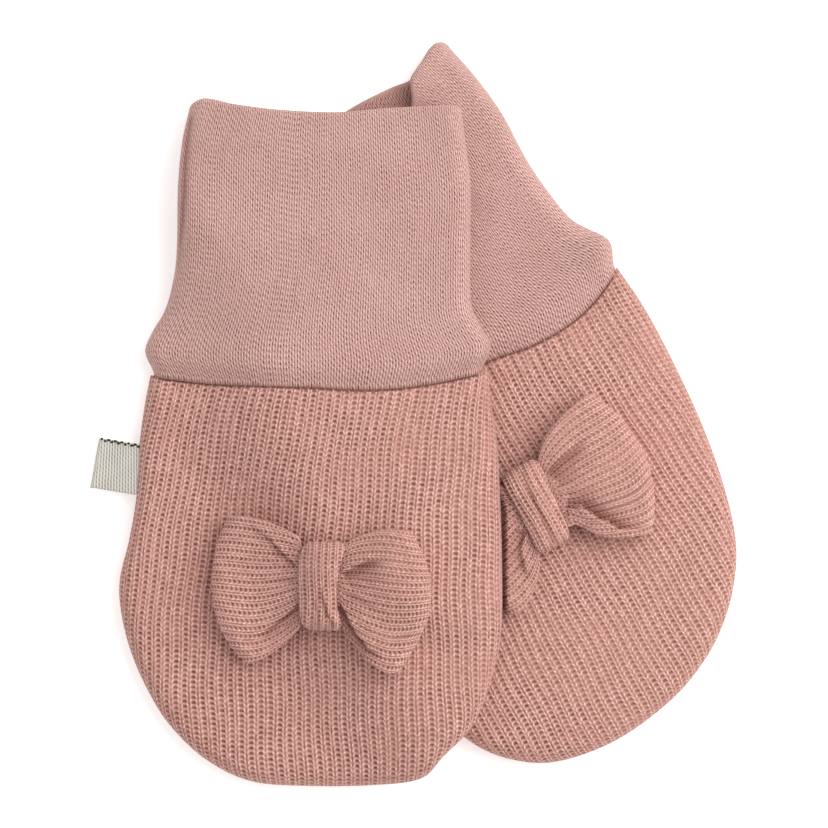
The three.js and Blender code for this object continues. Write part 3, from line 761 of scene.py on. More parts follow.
def bow(mitten, stations, rows):
    """The bow: a loop of waffle knit, gathered flat in the knot and puffed in its lobes."""
    facts = mitten.bow
    bottom, top = facts["corners"]["bottom"], facts["corners"]["top"]

    def place(across, over, along, depth, bulge):
        width = 2 * along - 1
        corner = np.abs(width) ** BOW_CORNER_POWER
        inset = BOW_WALL * depth
        low = facts["left"] * (1 - np.where(width > 0, top[0], bottom[0]) * corner) + inset
        high = facts["right"] * (1 - np.where(width > 0, top[1], bottom[1]) * corner) - inset
        x = mix(low, high, across)
        side = np.where(along == 1, 1, -1) * (BOW_WALL / 2) * bulge
        low_y, high_y = mitten.bottom_edge(x) + BOW_WALL / 2, mitten.top_edge(x) - BOW_WALL / 2
        y = mix(low_y, high_y, along) + side
        px, py = facts["x"] + x, facts["y"] + y
        wx, _ = mitten.to_world(px, py)
        past_band = ease((-x - PRESSED_START) / PRESSED_RAMP)
        press = past_band * ease((PRESSED_FROM - wx) / (PRESSED_FROM - PRESSED_TO))
        press = press if facts["pressed"] else 0 * press
        half = mix(bow_half_at(np.abs(x)), PRESSED_HALF, press)
        middle = mix(bow_middle_at(np.abs(x)), BOW_CLEARANCE + PRESSED_HALF, press)
        thin = np.maximum(half - BOW_WALL, BOW_SLOT / 2)
        opened = round_rise(np.minimum(x - low, high - x), mix(BOW_END_RADIUS, half - inset, depth))
        z = middle + np.where(over, 1, -1) * mix(half, thin, depth) * opened
        near_band = ease((np.abs(x) - 4) / 2) * ease((12 - np.abs(x)) / 6)
        gather = BOW_GATHER * near_band * np.cos(math.tau * BOW_GATHERS * width)
        folds = np.where(over, height_of(facts["folds"], x, y) + gather, 0) * (1 - press) * opened
        # Painted shade in the bow's folds and hollows.
        shade = np.clip(-folds, 0, 0.6) * (1 - depth)
        return mitten.placed(px, py, mitten.front_top(px, py) + z + folds), (x, y), shade

    def read_knit(length, plan, along, depth, bulge):
        width = 2 * along - 1
        x, y = plan
        share, tilt = (np.where(x > 0, facts[key][1], facts[key][0]) for key in ("straight", "tilt"))
        straight = y + np.maximum(np.abs(x) - 4, 0) * tilt
        wale = mix(width * BOW_RIB_SPAN, straight * BOW_RIB_CLOSER, share) + 0.2 * np.sin(0.4 * x)
        round_edge = np.arccos(1 - 2 * depth) * BOW_WALL / 2
        wale = wale + np.where(np.abs(width) == 1, width * round_edge, 0)
        course = length * BOW_COURSE_CLOSER + drift(plan[1], plan[0])[1]
        return wale, course, (1 - depth) * (1 - 0.5 * bulge)

    return loop(f"{mitten.name}_bow_loop", stations, rows, place, read_knit)


def band(mitten, stations, rows):
    """The band that goes right round the bow's knot."""
    knot_half, knot_middle = BOW_SECTION["half"][0], BOW_SECTION["middle"][0]
    facts = mitten.bow
    left_edge, right_edge = (curve(facts["band"], "y", side) for side in ("left", "right"))

    def place(across, over, along, depth, bulge):
        inset = BAND_WALL * depth
        y = mix(inset - BAND_LENGTH / 2, BAND_LENGTH / 2 - inset, across)
        low, high = left_edge(y) + BAND_WALL / 2, right_edge(y) - BAND_WALL / 2
        edge = np.where(along == 1, 1, -1) * (BAND_WALL / 2) * bulge
        x = mix(low, high, along) + edge
        half = knot_half + SEAM_GAP + BAND_WALL - inset
        opened = round_rise(BAND_LENGTH / 2 - inset - np.abs(y), np.minimum(half, BAND_CORNER_RADIUS))
        crown = BAND_BULGE * np.maximum(1 - (2 * along - 1) ** 2, 0) ** BAND_BULGE_POWER
        folds = height_of(facts["band_folds"], x, y + 0 * x)
        z = knot_middle + np.where(over, 1, -1) * half * opened
        z = z + np.where(over, (1 - depth) * (crown + folds) * opened, 0)
        px, py = facts["x"] + x, facts["y"] + y + 0 * x
        # Painted shade in the band's folds and grooves.
        shade = np.where(over, np.clip(-0.5 * folds, 0, 0.5), 0) * (1 - depth)
        return mitten.placed(px, py, mitten.front_top(px, py) + z), (x, y + 0 * x), shade

    def read_knit(length, plan, along, depth, bulge):
        wale = plan[0] * BAND_RIB_CLOSER + 0.15 * np.sin(0.5 * plan[1])
        return wale, length * BOW_COURSE_CLOSER, (1 - depth) * (1 - bulge)

    return loop(f"{mitten.name}_bow_knot_band", stations, rows, place, read_knit)


def tape_label(arm_cells, fold_cells, width_cells):
    """The label: a tape folded back on itself at its outer end, with both ends at the seam."""
    corner = LABEL_CORNERS
    swing = np.pi * np.arange(1, fold_cells) / fold_cells
    out = np.linspace(0, 1, arm_cells + 1)
    turn = np.concatenate([np.ones(arm_cells + 1), np.cos(swing), -np.ones(arm_cells + 1)])
    bend = np.concatenate([np.zeros(arm_cells + 1), np.sin(swing), np.zeros(arm_cells + 1)])
    out = np.concatenate([out, np.ones(fold_cells - 1), out[::-1]])[:, None]
    turn, bend = turn[:, None], bend[:, None]
    share = np.linspace(0, 1, width_cells + 1)[None]
    x, y = (mix(mix(corner["inner_top"][i], corner["outer_top"][i], out),
                mix(corner["inner_bottom"][i], corner["outer_bottom"][i], out), share)
            for i in (0, 1))
    droop = mix(LABEL_INNER_HEIGHT, LABEL_OUTER_HEIGHT, ease(out))
    curl = LABEL_CURL * np.sin(math.pi * share) * ease(out) * (turn > 0)
    skin = Skin()
    tape_length = np.arange(len(out))[:, None] * (LABEL_LENGTH / arm_cells)
    sheets = []
    for radius in (LABEL_WALL + SEAM_GAP / 2, SEAM_GAP / 2):
        points = UPPER.placed(x - bend * radius, y + 0 * out, droop + turn * radius + curl)
        sheets.append(skin.add(points, tape_length, share * LABEL_WIDTH + 0 * out))
    outer, inner = sheets
    skin.quads(outer)
    skin.quads(inner[:, ::-1])
    skin.quads(np.stack([inner[:, 0], outer[:, 0]])[:, ::-1])
    skin.quads(np.stack([inner[:, -1], outer[:, -1]]))
    skin.quads(np.stack([inner[0], outer[0]]))
    skin.quads(np.stack([inner[-1], outer[-1]])[:, ::-1])
    return skin.build("upper_tape_label")


def stitch_line(name, points):
    """A line of points that each aim at the next, for a row of stitches."""
    aim = np.gradient(points, axis=0)
    mesh = bpy.data.meshes.new(name)
    mesh.from_pydata(points.tolist(), [], [])
    attribute = mesh.attributes.new("aim", "FLOAT_VECTOR", "POINT")
    attribute.data.foreach_set("vector", aim.astype(np.float32).reshape(-1))
    return new_object(name, mesh)


def seam_stitches(mitten):
    """Where the thread shows in the groove between the body and the cuff."""
    x = np.arange(mitten.left(0) + 1.5, mitten.right(0) - 1.5, SEAM_STITCH)
    y = mitten.seam(x) - SEAM_STITCH_INSET
    z = mitten.front_top(x, y) + 0.1
    return stitch_line(f"{mitten.name}_cuff_stitches", mitten.placed(x, y, z))


def selvage_stitches():
    """The dashed thread along the label's upper edge."""
    corner = LABEL_CORNERS
    out = np.linspace(0.06, 1.0, LABEL_STITCHES)
    x = mix(corner["inner_top"][0], corner["outer_top"][0], out)
    y = mix(corner["inner_top"][1], corner["outer_top"][1], out)
    wave = 0.12 + 0.3 * (np.arange(LABEL_STITCHES) % 2)
    droop = mix(LABEL_INNER_HEIGHT, LABEL_OUTER_HEIGHT, ease(out))
    points = UPPER.placed(x, y - wave, droop + LABEL_WALL + SEAM_GAP / 2)
    return stitch_line("upper_label_selvage", points)


# Nodes

class Wire:
    """A node's output. Arithmetic on it adds the Math node that does the same."""

    def __init__(self, board, socket):
        self.board, self.socket = board, socket

    def math(self, operation, *others):
        values = dict(enumerate((self, *others)))
        return self.board.add("ShaderNodeMath", {"operation": operation}, values)

    def __add__(self, other):
        return self.math("ADD", other)

    def __sub__(self, other):
        return self.math("SUBTRACT", other)

    def __rsub__(self, other):
        return self.board.add("ShaderNodeMath", {"operation": "SUBTRACT"}, {0: other, 1: self})

    def __mul__(self, other):
        return self.math("MULTIPLY", other)

    def __truediv__(self, other):
        return self.math("DIVIDE", other)

    def __mod__(self, other):
        return self.math("FLOORED_MODULO", other)

    def __pow__(self, other):
        return self.math("POWER", other)

    __radd__, __rmul__ = __add__, __mul__

    def cos(self):
        return self.math("COSINE")

    def sin(self):
        return self.math("SINE")

    def floor(self):
        return self.math("FLOOR")

    def clamp(self):
        return self.math("MINIMUM", 1.0).math("MAXIMUM", 0.0)


class Board:
    """A node tree, and the one way to add nodes to it."""

    def __init__(self, tree):
        self.tree = tree

    def add(self, kind, settings=None, sockets=None, output=0):
        """A node of a kind: its settings first, then its sockets' values or links."""
        node = self.tree.nodes.new(kind)
        for key, value in (settings or {}).items():
            setattr(node, key, value)
        for key, value in (sockets or {}).items():
            if isinstance(value, Wire):
                self.tree.links.new(value.socket, node.inputs[key])
            else:
                node.inputs[key].default_value = value
        return Wire(self, node.outputs[output]) if len(node.outputs) else node

    def split(self, vector):
        """The three numbers of a vector."""
        node = self.add("ShaderNodeSeparateXYZ", None, {0: vector}).socket.node
        return [Wire(self, node.outputs[i]) for i in range(3)]

    def blend(self, share, first, second):
        """A colour between two colours."""
        return self.add("ShaderNodeMix", {"data_type": "RGBA"}, {0: share, 6: first, 7: second}, 2)


TURN = 2 * math.pi
# How fast the painted shade in the waffle's pits and grooves grows towards the left, per metre of the
# scene.
PIT_SHADE_TO_LEFT = 4.5


def chance(number, other=0.0):
    """A number from 0 to 1 that is the same for the same column, or column and stitch."""
    seeded = number.board.add("ShaderNodeCombineXYZ", None, {0: number, 1: other, 2: KNIT_SEED})
    return number.board.add("ShaderNodeTexWhiteNoise", {"noise_dimensions": "3D"}, {"Vector": seeded})


def waffle(wale, course):
    """The waffle knit at a place counted in repeats: its height, pits, grooves and strands.

    Columns of pits lie on the whole numbers, with a rib on either side, and the grooves
    between two ribs lie halfway. Each column is shifted and each pit is deepened by chance.
    """
    number = (wale + 0.5).floor()
    side = wale - number
    out = (side * side) ** 0.5
    course = course + chance(number) * 0.35
    depth = chance(number, course.floor()) * 0.4 + 0.6
    sway = (wale * TURN).cos() * 0.5 + 0.5
    column = ((sway - 0.4) * 2.2).clamp()
    rung = (course * TURN).cos() * 0.5 + 0.5
    pit = column * ((0.86 - rung) * 1.5).clamp() * depth
    groove = (1 - sway) ** 12.0 * (chance(wale.floor(), (course * 0.8).floor()) * 0.6 + 0.4)
    ridge = (1 - column) * (1 - groove)
    stroke = course + out * 1.6 + chance((wale * 2.0).floor()) * 0.5
    drawn = chance((wale * 2.0).floor(), stroke.floor()) * 0.6 + 0.4
    strand = ridge * ((stroke * TURN).cos() * -0.5 + 0.5) ** 1.6 * drawn
    height = ridge * 0.7 + groove * 0.3 + column * (rung * 0.5 + (1 - depth) * 0.2) + strand * 0.3
    return height, pit, groove, strand


def new_tree(name, inputs):
    """A Geometry Nodes tree with named inputs: the tree, its board and its inputs' wires."""
    tree = bpy.data.node_groups.new(name, "GeometryNodeTree")
    face = tree.interface
    face.new_socket("Geometry", in_out="INPUT", socket_type="NodeSocketGeometry")
    for label, kind, value in inputs:
        socket = face.new_socket(label, in_out="INPUT", socket_type=f"NodeSocket{kind}")
        if value is not None:
            socket.default_value = value
    face.new_socket("Geometry", in_out="OUTPUT", socket_type="NodeSocketGeometry")
    board = Board(tree)
    sockets = board.add("NodeGroupInput").socket.node.outputs
    return tree, board, {socket.name: Wire(board, socket) for socket in sockets if socket.name}


def end_tree(board, geometry, material):
    """Makes the tree's result real, gives it its material and hands it out."""
    real = board.add("GeometryNodeRealizeInstances", None, {0: geometry})
    done = board.add("GeometryNodeSetMaterial", None, {"Geometry": real, "Material": material})
    board.add("NodeGroupOutput", None, {"Geometry": done})


def relief_tree():
    """Geometry Nodes that raise the waffle knit's ribs out of a sheet that knows its place in it."""
    tree, board, wires = new_tree("waffle_relief", (
        ("Rib repeat", "Float", 1.64), ("Course", "Float", 1.0), ("Depth", "Float", 0.3),
        ("Cloth", "Material", None)))
    knit = board.add("GeometryNodeInputNamedAttribute", {"data_type": "FLOAT_VECTOR"}, {"Name": "knit"})
    wale, course, relief = board.split(knit)
    height = waffle(wale / wires["Rib repeat"], course / wires["Course"])[0]
    amount = (height - 0.55) * relief * wires["Depth"] * MM
    normal = board.add("GeometryNodeInputNormal")
    offset = board.add("ShaderNodeVectorMath", {"operation": "SCALE"}, {0: normal, 3: amount})
    moved = board.add("GeometryNodeSetPosition", None, {"Geometry": wires["Geometry"], "Offset": offset})
    end_tree(board, moved, wires["Cloth"])
    return tree


def stitch_tree():
    """Geometry Nodes that lay one small rounded stitch of thread on each point of a row."""
    tree, board, wires = new_tree("stitch_row", (
        ("Stitch length", "Float", 1.0), ("Thickness", "Float", 0.3), ("Seed", "Float", 1.0),
        ("Thread", "Material", None)))
    index = board.add("GeometryNodeInputIndex")
    turned = board.add("ShaderNodeTexWhiteNoise", {"noise_dimensions": "1D"}, {"W": index + wires["Seed"]})
    drawn = board.add("ShaderNodeTexWhiteNoise", {"noise_dimensions": "1D"},
                      {"W": index + wires["Seed"] + 0.5})
    ball = board.add("GeometryNodeMeshIcoSphere", None, {"Radius": 0.5 * MM, "Subdivisions": 2})
    aim = board.add("GeometryNodeInputNamedAttribute", {"data_type": "FLOAT_VECTOR"}, {"Name": "aim"})
    facing = board.add("FunctionNodeAlignRotationToVector", {"axis": "X"}, {"Vector": aim})
    tilt = board.add("FunctionNodeAxisAngleToRotation", None,
                     {"Axis": (0, 0, 1), "Angle": (turned - 0.5) * 0.9})
    rotation = board.add("FunctionNodeRotateRotation", {"rotation_space": "LOCAL"},
                         {"Rotation": facing, "Rotate By": tilt})
    size = board.add("ShaderNodeCombineXYZ", None, {
        0: wires["Stitch length"] * (drawn * 0.4 + 0.8), 1: wires["Thickness"],
        2: wires["Thickness"]})
    rows = board.add("GeometryNodeInstanceOnPoints", None, {
        "Points": wires["Geometry"], "Instance": ball, "Rotation": rotation, "Scale": size})
    end_tree(board, rows, wires["Thread"])
    return tree


def run_nodes(piece, tree, values):
    """Runs a tree on a piece with named inputs, and keeps the result as its plain mesh."""
    modifier = piece.modifiers.new(tree.name, "NODES")
    modifier.node_group = tree
    for item in tree.interface.items_tree:
        if item.item_type == "SOCKET" and item.in_out == "INPUT" and item.name in values:
            modifier[item.identifier] = values[item.name]
    graph = bpy.context.evaluated_depsgraph_get()
    mesh = bpy.data.meshes.new_from_object(piece.evaluated_get(graph))
    piece.modifiers.remove(modifier)
    old = piece.data
    piece.data = mesh
    bpy.data.meshes.remove(old)


# Materials

def linear(colour):
    """An sRGB colour of 0 to 255 as Blender's linear colour."""
    values = [c / 255 for c in colour]
    return tuple(v / 12.92 if v <= 0.04045 else ((v + 0.055) / 1.055) ** 2.4 for v in values) + (1,)


def new_material(name):
    """An empty material and the board of its nodes."""
    material = bpy.data.materials.new(name)
    material.use_nodes = True
    material.node_tree.nodes.clear()
    return material, Board(material.node_tree)


def cloth_surface(board, colour, roughness, height, strength, distance):
    """A matt cloth with a soft sheen, from its colour, roughness and fine height."""
    bump = board.add("ShaderNodeBump", None,
                     {"Strength": strength, "Distance": distance, "Height": height})
    surface = board.add("ShaderNodeBsdfPrincipled", None, {
        "Base Color": colour, "Roughness": roughness, "Normal": bump, "IOR": 1.45,
        "Specular IOR Level": 0.25, "Sheen Weight": 0.25, "Sheen Roughness": 0.5,
        "Sheen Tint": (1.0, 0.86, 0.82, 1.0),
    })
    board.add("ShaderNodeOutputMaterial", None, {"Surface": surface})


def fibre(board, scale, detail=2.0):
    """Fine uneven fibre over the whole object, from 0 to 1."""
    place = board.add("ShaderNodeTexCoord", None, None, 3)
    return board.add("ShaderNodeTexNoise", None, {"Vector": place, "Scale": scale, "Detail": detail})


def knit_place(board):
    """Where a point lies in the knit: across its ribs, along them, and its relief."""
    knit = board.add("ShaderNodeAttribute", {"attribute_name": "knit"}, None, 1)
    return board.split(knit)


def colours(look, *names):
    """Linear colours of the named settings."""
    return [linear([c * 255 for c in getattr(look, name)]) for name in names]


def waffle_material(look):
    """Waffle knit, with a painted highlight on the strands of its ribs and painted shade in its pits and
    grooves, which grows towards the left.
    """
    material, board = new_material("waffle_knit_cloth")
    wale, course, _ = knit_place(board)
    height, pit, groove, strand = waffle(wale / look.rib_repeat, course / look.course)
    base, light, deep, shadow = colours(
        look, "colour", "strand_highlight_colour", "pit_shade_colour", "fold_shade_colour")
    uneven = fibre(board, 90.0)
    fuzz = fibre(board, 2600.0, 3.0)
    across = board.split(board.add("ShaderNodeTexCoord", None, None, 3))[0]
    # Painted shade: the pits and grooves are darkened, partly as the darker inside seen through the knit,
    # more towards the left and at random.
    pit_shade_share = (uneven * 1.6 + 0.12 - across * PIT_SHADE_TO_LEFT).clamp()
    # The strands get a painted highlight.
    lit = strand + (uneven - 0.5) * 0.4 + (fuzz - 0.5) * 0.9
    colour = board.blend(lit.clamp(), base, light)
    colour = board.blend(((pit * 0.9 + groove * 0.7) * pit_shade_share).clamp(), colour, deep)
    # Painted shade in folds, seams and hollows, from the mesh's shade attribute.
    colour = board.blend((fold_shade(board) * 0.7).clamp(), colour, shadow)
    rough = (height * 0.1 + 0.84).clamp()
    cloth_surface(board, colour, rough, height + fuzz * 0.5, 0.6, 0.0003)
    return material


def fold_shade(board):
    """How much painted shade a point gets in a fold, a seam or a hollow, from the mesh."""
    return board.add("ShaderNodeAttribute", {"attribute_name": "shade"}, None, 2)


def cuff_material(look):
    """Fine upright columns of small stitches, with a painted highlight on their strands and painted shade
    in the staggered gaps between them.
    """
    material, board = new_material("cuff_interlock_cloth")
    wale, course, _ = knit_place(board)
    column = wale / look.cuff_wale
    stitch = course / look.cuff_course
    between = (column + 0.5).floor()
    leg = column.floor()
    sway = (column * TURN).cos() * 0.5 + 0.5
    place = stitch + between * 0.5 + chance(between) * 0.4
    gap = (place * TURN).cos() * 0.5 + 0.5
    strength = chance(between, place.floor()) ** 2.0 * 1.1 + 0.45
    # Painted shade in the staggered gaps between the stitches.
    dash = sway ** 2.4 * gap ** 2.4 * strength
    side = (leg % 2.0) * 2.0 - 1.0
    slant = (column - leg - 0.5) * side * 0.7
    strand = ((stitch + slant + leg * 0.5 + chance(leg) * 0.4) * TURN).sin() * 0.5 + 0.5
    body = 1 - sway
    base, light, deep, shadow = colours(
        look, "cuff_colour", "cuff_strand_colour", "cuff_gap_colour", "fold_shade_colour")
    uneven = fibre(board, 70.0)
    fuzz = fibre(board, 2600.0, 3.0)
    # The strands get a painted highlight.
    lit = body * (strand * 0.6 + 0.25) + (uneven - 0.5) * 0.3 + (fuzz - 0.5) * 0.9
    colour = board.blend(lit.clamp(), base, light)
    colour = board.blend(dash.clamp(), colour, deep)
    # Painted shade in the cuff's folds, along its foot and on its inner layers, from the mesh's shade
    # attribute.
    colour = board.blend((fold_shade(board) * 0.6).clamp(), colour, shadow)
    height = body * (strand * 0.5 + 0.5) - dash + fuzz * 0.3
    cloth_surface(board, colour, (fuzz * 0.1 + 0.82).clamp(), height, 0.5, 0.00016)
    return material


def tape_material():
    """Off-white woven tape: fine slanted ribs from one edge to the other, with painted shade in the
    grooves between them.
    """
    material, board = new_material("woven_label_tape")
    along, across, _ = knit_place(board)
    rib = along / 0.5 + across * 0.2 + (fibre(board, 300.0) - 0.5) * 0.4
    number = (rib + 0.5).floor()
    sway = (rib * TURN).cos() * 0.5 + 0.5
    pick = ((across / 0.86 + number * 0.5 + (rib - number) * 0.8) * TURN).cos() * 0.5 + 0.5
    uneven = fibre(board, 400.0)
    share = sway ** 1.3 * (pick * 0.4 + 0.5) + (uneven - 0.5) * 0.3
    # Painted shade: grey in the low grooves between the ribs.
    colour = board.blend((share * 0.85).clamp(), linear(TAPE_LIGHT), linear(TAPE_GREY))
    cloth_surface(board, colour, (uneven * 0.1 + 0.7).clamp(), (1 - sway) - pick * 0.4, 0.5, 0.00014)
    return material


def thread_material(name, colour):
    """A fine matt thread with a slight twist."""
    material, board = new_material(name)
    twist = fibre(board, 5200.0, 1.0)
    dark = tuple(c * 0.6 for c in colour)
    shade = board.blend(twist, linear(colour), linear(dark))
    cloth_surface(board, shade, (twist * 0.1 + 0.75).clamp(), twist, 0.4, 0.00008)
    return material


def stage_material():
    """A matt pale floor that glows a little, so that it stays white."""
    material, board = new_material("pale_floor")
    surface = board.add("ShaderNodeBsdfPrincipled", None, {
        "Base Color": (0.9, 0.9, 0.9, 1), "Roughness": 0.9, "Specular IOR Level": 0.1,
        "Emission Color": (1, 1, 1, 1), "Emission Strength": FLOOR_GLOW})
    board.add("ShaderNodeOutputMaterial", None, {"Surface": surface})
    return material


# Settings

def gamma_colour(name, description, colour):
    """A colour setting, from an sRGB colour of 0 to 255."""
    return bpy.props.FloatVectorProperty(
        name=name, description=description, subtype="COLOR_GAMMA", min=0, max=1,
        default=tuple(c / 255 for c in colour))


class KnitLook(bpy.types.PropertyGroup):
    """Sizes and colours of the two knits."""

    rib_repeat: bpy.props.FloatProperty(
        name="Rib repeat", description="Width of one rib of the waffle knit, in millimetres",
        default=1.64, min=0.5, max=5)
    course: bpy.props.FloatProperty(
        name="Course", description="Height of one pit of the waffle knit, in millimetres",
        default=1.0, min=0.3, max=4)
    relief: bpy.props.FloatProperty(
        name="Relief", description="How far the waffle knit's ribs stand out, in millimetres",
        default=0.45, min=0, max=1)
    cuff_wale: bpy.props.FloatProperty(
        name="Cuff column", description="Width of one column of the cuff's knit, in millimetres",
        default=0.478, min=0.2, max=3)
    cuff_course: bpy.props.FloatProperty(
        name="Cuff stitch", description="Height of one stitch of the cuff's knit, in millimetres",
        default=1.12, min=0.3, max=4)
    colour: gamma_colour("Waffle colour", "Colour of the body and the bow", (196, 144, 132))
    # Painted highlight on the waffle's strands.
    strand_highlight_colour: gamma_colour("Waffle strands", "Colour of the yarn that catches light", (252, 211, 198))
    # Painted shade in the waffle's pits and grooves, partly the darker inside seen through the knit.
    pit_shade_colour: gamma_colour("Waffle pits", "Colour deep in the waffle knit", (112, 58, 48))
    cuff_colour: gamma_colour("Cuff colour", "Colour of the cuff", (172, 128, 119))
    # Painted highlight on the cuff's strands.
    cuff_strand_colour: gamma_colour("Cuff strands", "Colour of the cuff's light yarn", (243, 203, 194))
    # Painted shade between the cuff's stitches.
    cuff_gap_colour: gamma_colour("Cuff gaps", "Colour between the cuff's stitches", (70, 30, 26))
    # Painted shade colour for folds, seams and hollows, laid by the mesh's shade attribute.
    fold_shade_colour: gamma_colour("Fold colour", "Colour deep in the folds and seams", (122, 62, 50))


class StageLook(bpy.types.PropertyGroup):
    """The floor, the lights and the camera."""

    camera_height: bpy.props.FloatProperty(
        name="Camera height", description="Height of the camera over the table",
        subtype="DISTANCE", unit="LENGTH", default=1.6, min=0.3)
    aim_height: bpy.props.FloatProperty(
        name="Aim height", description="Height at which the photo's scale holds",
        subtype="DISTANCE", unit="LENGTH", default=0.006, min=0)


# Operators

def finish_piece(piece, nodes, material=None):
    """The calls that every piece of cloth gets."""
    if material is not None:
        piece.data.materials.clear()
        piece.data.materials.append(material)
    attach(piece, "root")
    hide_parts(*nodes)


def material_named(name, make, *args):
    """The material of that name, made when it is first asked for."""
    return bpy.data.materials.get(name) or make(*args)


def raise_waffle(piece, look):
    """Raises the waffle knit's ribs on a piece, and gives it its cloth."""
    cloth = material_named("waffle_knit_cloth", waffle_material, look)
    tree = bpy.data.node_groups.get("waffle_relief") or relief_tree()
    run_nodes(piece, tree, {"Rib repeat": look.rib_repeat, "Course": look.course,
                            "Depth": look.relief, "Cloth": cloth})


def lay_stitches(row, length, thickness, seed, thread):
    """Lays a stitch of thread on each point of a row."""
    tree = bpy.data.node_groups.get("stitch_row") or stitch_tree()
    run_nodes(row, tree, {"Stitch length": length, "Thickness": thickness, "Seed": seed,
                          "Thread": thread})


WHICH = [("upper", "Upper", "The mitten that lies on the other"),
         ("lower", "Lower", "The mitten underneath")]


class MITTENS_OT_stage(bpy.types.Operator):
    """Lay the pale floor, hang the soft lights and set the camera straight above"""

    bl_idname = "mittens.stage"
    bl_label = "Stage"

    def execute(self, context):
        look = context.scene.mittens_stage
        scene = context.scene
        mesh = bpy.data.meshes.new("pale_floor")
        turns = ((-1, -1), (1, -1), (1, 1), (-1, 1))
        corners = [(x * FLOOR_HALF, y * FLOOR_HALF, 0) for x, y in turns]
        mesh.from_pydata(corners, [], [(0, 1, 2, 3)])
        floor = new_object("pale_floor", mesh)
        mesh.materials.append(stage_material())

        world = bpy.data.worlds.new("soft_studio")
        world.use_nodes = True
        board = Board(world.node_tree)
        world.node_tree.nodes.clear()
        sky = board.add("ShaderNodeBackground", None,
                        {"Color": (1, 1, 1, 1), "Strength": SKY_STRENGTH})
        board.add("ShaderNodeOutputWorld", None, {"Surface": sky})
        scene.world = world

        light = bpy.data.lights.new("key_light", "AREA")
        light.energy, light.size = LIGHT_POWER, LIGHT_WIDTH
        lamp = new_object("key_light", light)
        lamp.location = LIGHT_PLACE
        lamp.rotation_euler = (-Vector(LIGHT_PLACE)).to_track_quat("-Z", "Y").to_euler()

        camera = bpy.data.cameras.new("camera")
        camera.sensor_width = SENSOR_WIDTH
        seen = PHOTO_PX * MM_PER_PX * MM
        camera.lens = camera.sensor_width * (look.camera_height - look.aim_height) / seen
        camera.clip_end = 10
        view = new_object("camera", camera)
        view.location = (0.0, 0.0, look.camera_height)
        scene.camera = view
        scene.view_settings.view_transform = "Standard"
        scene.view_settings.look = "None"
        return {"FINISHED"}


class MITTENS_OT_body(bpy.types.Operator):
    """Lay one mitten's front and back panels of waffle knit"""

    bl_idname = "mittens.body"
    bl_label = "Body"
    which: bpy.props.EnumProperty(name="Mitten", description="Which mitten", items=WHICH)

    def execute(self, context):
        look = context.scene.mittens_knit
        mitten = MITTENS[self.which]
        for side, relief in (("front", 1.0), ("back", 0.0)):
            piece = panel(mitten, side, PANEL_CELLS[side], PANEL_INNER_RATIO, relief)
            raise_waffle(piece, look)
            finish_piece(piece, [f"{mitten.name}_body_{side}"])
        return {"FINISHED"}


class MITTENS_OT_cuff(bpy.types.Operator):
    """Fold one mitten's double cuff"""

    bl_idname = "mittens.cuff"
    bl_label = "Cuff"
    which: bpy.props.EnumProperty(name="Mitten", description="Which mitten", items=WHICH)

    def execute(self, context):
        mitten = MITTENS[self.which]
        cloth = material_named("cuff_interlock_cloth", cuff_material, context.scene.mittens_knit)
        rows = loop_rows(crowded(90, 0.05, 3.0), np.linspace(0, 1, 10), 10)
        piece = cuff(mitten, CUFF_STATIONS, rows)
        finish_piece(piece, [f"{mitten.name}_cuff"], cloth)
        thread = material_named("seam_thread", thread_material, "seam_thread", SEAM_THREAD)
        stitches = seam_stitches(mitten)
        lay_stitches(stitches, length=1.2, thickness=0.34, seed=3.0, thread=thread)
        finish_piece(stitches, [f"{mitten.name}_cuff"])
        return {"FINISHED"}


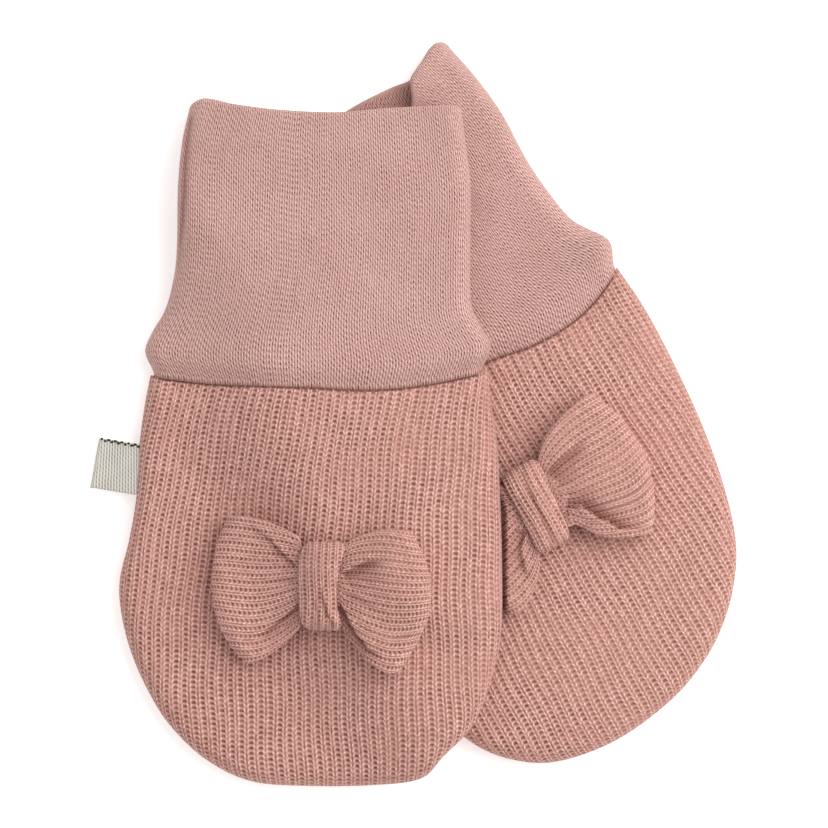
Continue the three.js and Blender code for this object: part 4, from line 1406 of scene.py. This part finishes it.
class MITTENS_OT_bow(bpy.types.Operator):
    """Tie one mitten's bow and its band"""

    bl_idname = "mittens.bow"
    bl_label = "Bow"
    which: bpy.props.EnumProperty(name="Mitten", description="Which mitten", items=WHICH)

    def execute(self, context):
        mitten = MITTENS[self.which]
        bow_rows = loop_rows(np.linspace(0, 1, 131), np.linspace(0, 1, 12), 8)
        band_rows = loop_rows(np.linspace(0, 1, 41), np.linspace(0, 1, 6), 8)
        loop_piece = bow(mitten, BOW_STATIONS, bow_rows)
        band_piece = band(mitten, BAND_STATIONS, band_rows)
        for piece, node in ((loop_piece, "bow"), (band_piece, "bow_band")):
            raise_waffle(piece, context.scene.mittens_knit)
            finish_piece(piece, [f"{mitten.name}_{node}"])
        return {"FINISHED"}


class MITTENS_OT_label(bpy.types.Operator):
    """Fold the bare tape label into the upper mitten's side seam"""

    bl_idname = "mittens.label"
    bl_label = "Label"

    def execute(self, context):
        piece = tape_label(*LABEL_CELLS)
        finish_piece(piece, ["upper_label"], tape_material())
        thread = thread_material("selvage_thread", SELVAGE_THREAD)
        stitches = selvage_stitches()
        lay_stitches(stitches, length=0.75, thickness=0.5, seed=8.0, thread=thread)
        finish_piece(stitches, ["upper_label"])
        return {"FINISHED"}


class MITTENS_PT_panel(bpy.types.Panel):
    """The mittens' sizes, colours and pieces"""

    bl_idname = "MITTENS_PT_panel"
    bl_label = "Baby mittens"
    bl_space_type = "VIEW_3D"
    bl_region_type = "UI"
    bl_category = "Mittens"

    def draw(self, context):
        for settings in (context.scene.mittens_knit, context.scene.mittens_stage):
            for name in settings.bl_rna.properties.keys():
                if name not in ("rna_type", "name"):
                    self.layout.prop(settings, name)
        for operator in OPERATORS:
            self.layout.operator(operator.bl_idname)


OPERATORS = (MITTENS_OT_stage, MITTENS_OT_body, MITTENS_OT_cuff, MITTENS_OT_bow, MITTENS_OT_label)
CLASSES = (KnitLook, StageLook, *OPERATORS, MITTENS_PT_panel)


def register():
    for cls in CLASSES:
        bpy.utils.register_class(cls)
    bpy.types.Scene.mittens_knit = bpy.props.PointerProperty(type=KnitLook)
    bpy.types.Scene.mittens_stage = bpy.props.PointerProperty(type=StageLook)


def unregister():
    del bpy.types.Scene.mittens_stage
    del bpy.types.Scene.mittens_knit
    for cls in reversed(CLASSES):
        bpy.utils.unregister_class(cls)


def main():
    register()
    bpy.ops.mittens.stage()
    for which in ("lower", "upper"):
        bpy.ops.mittens.body(which=which)
        bpy.ops.mittens.cuff(which=which)
        bpy.ops.mittens.bow(which=which)
    bpy.ops.mittens.label()


if __name__ == "__main__":
    main()
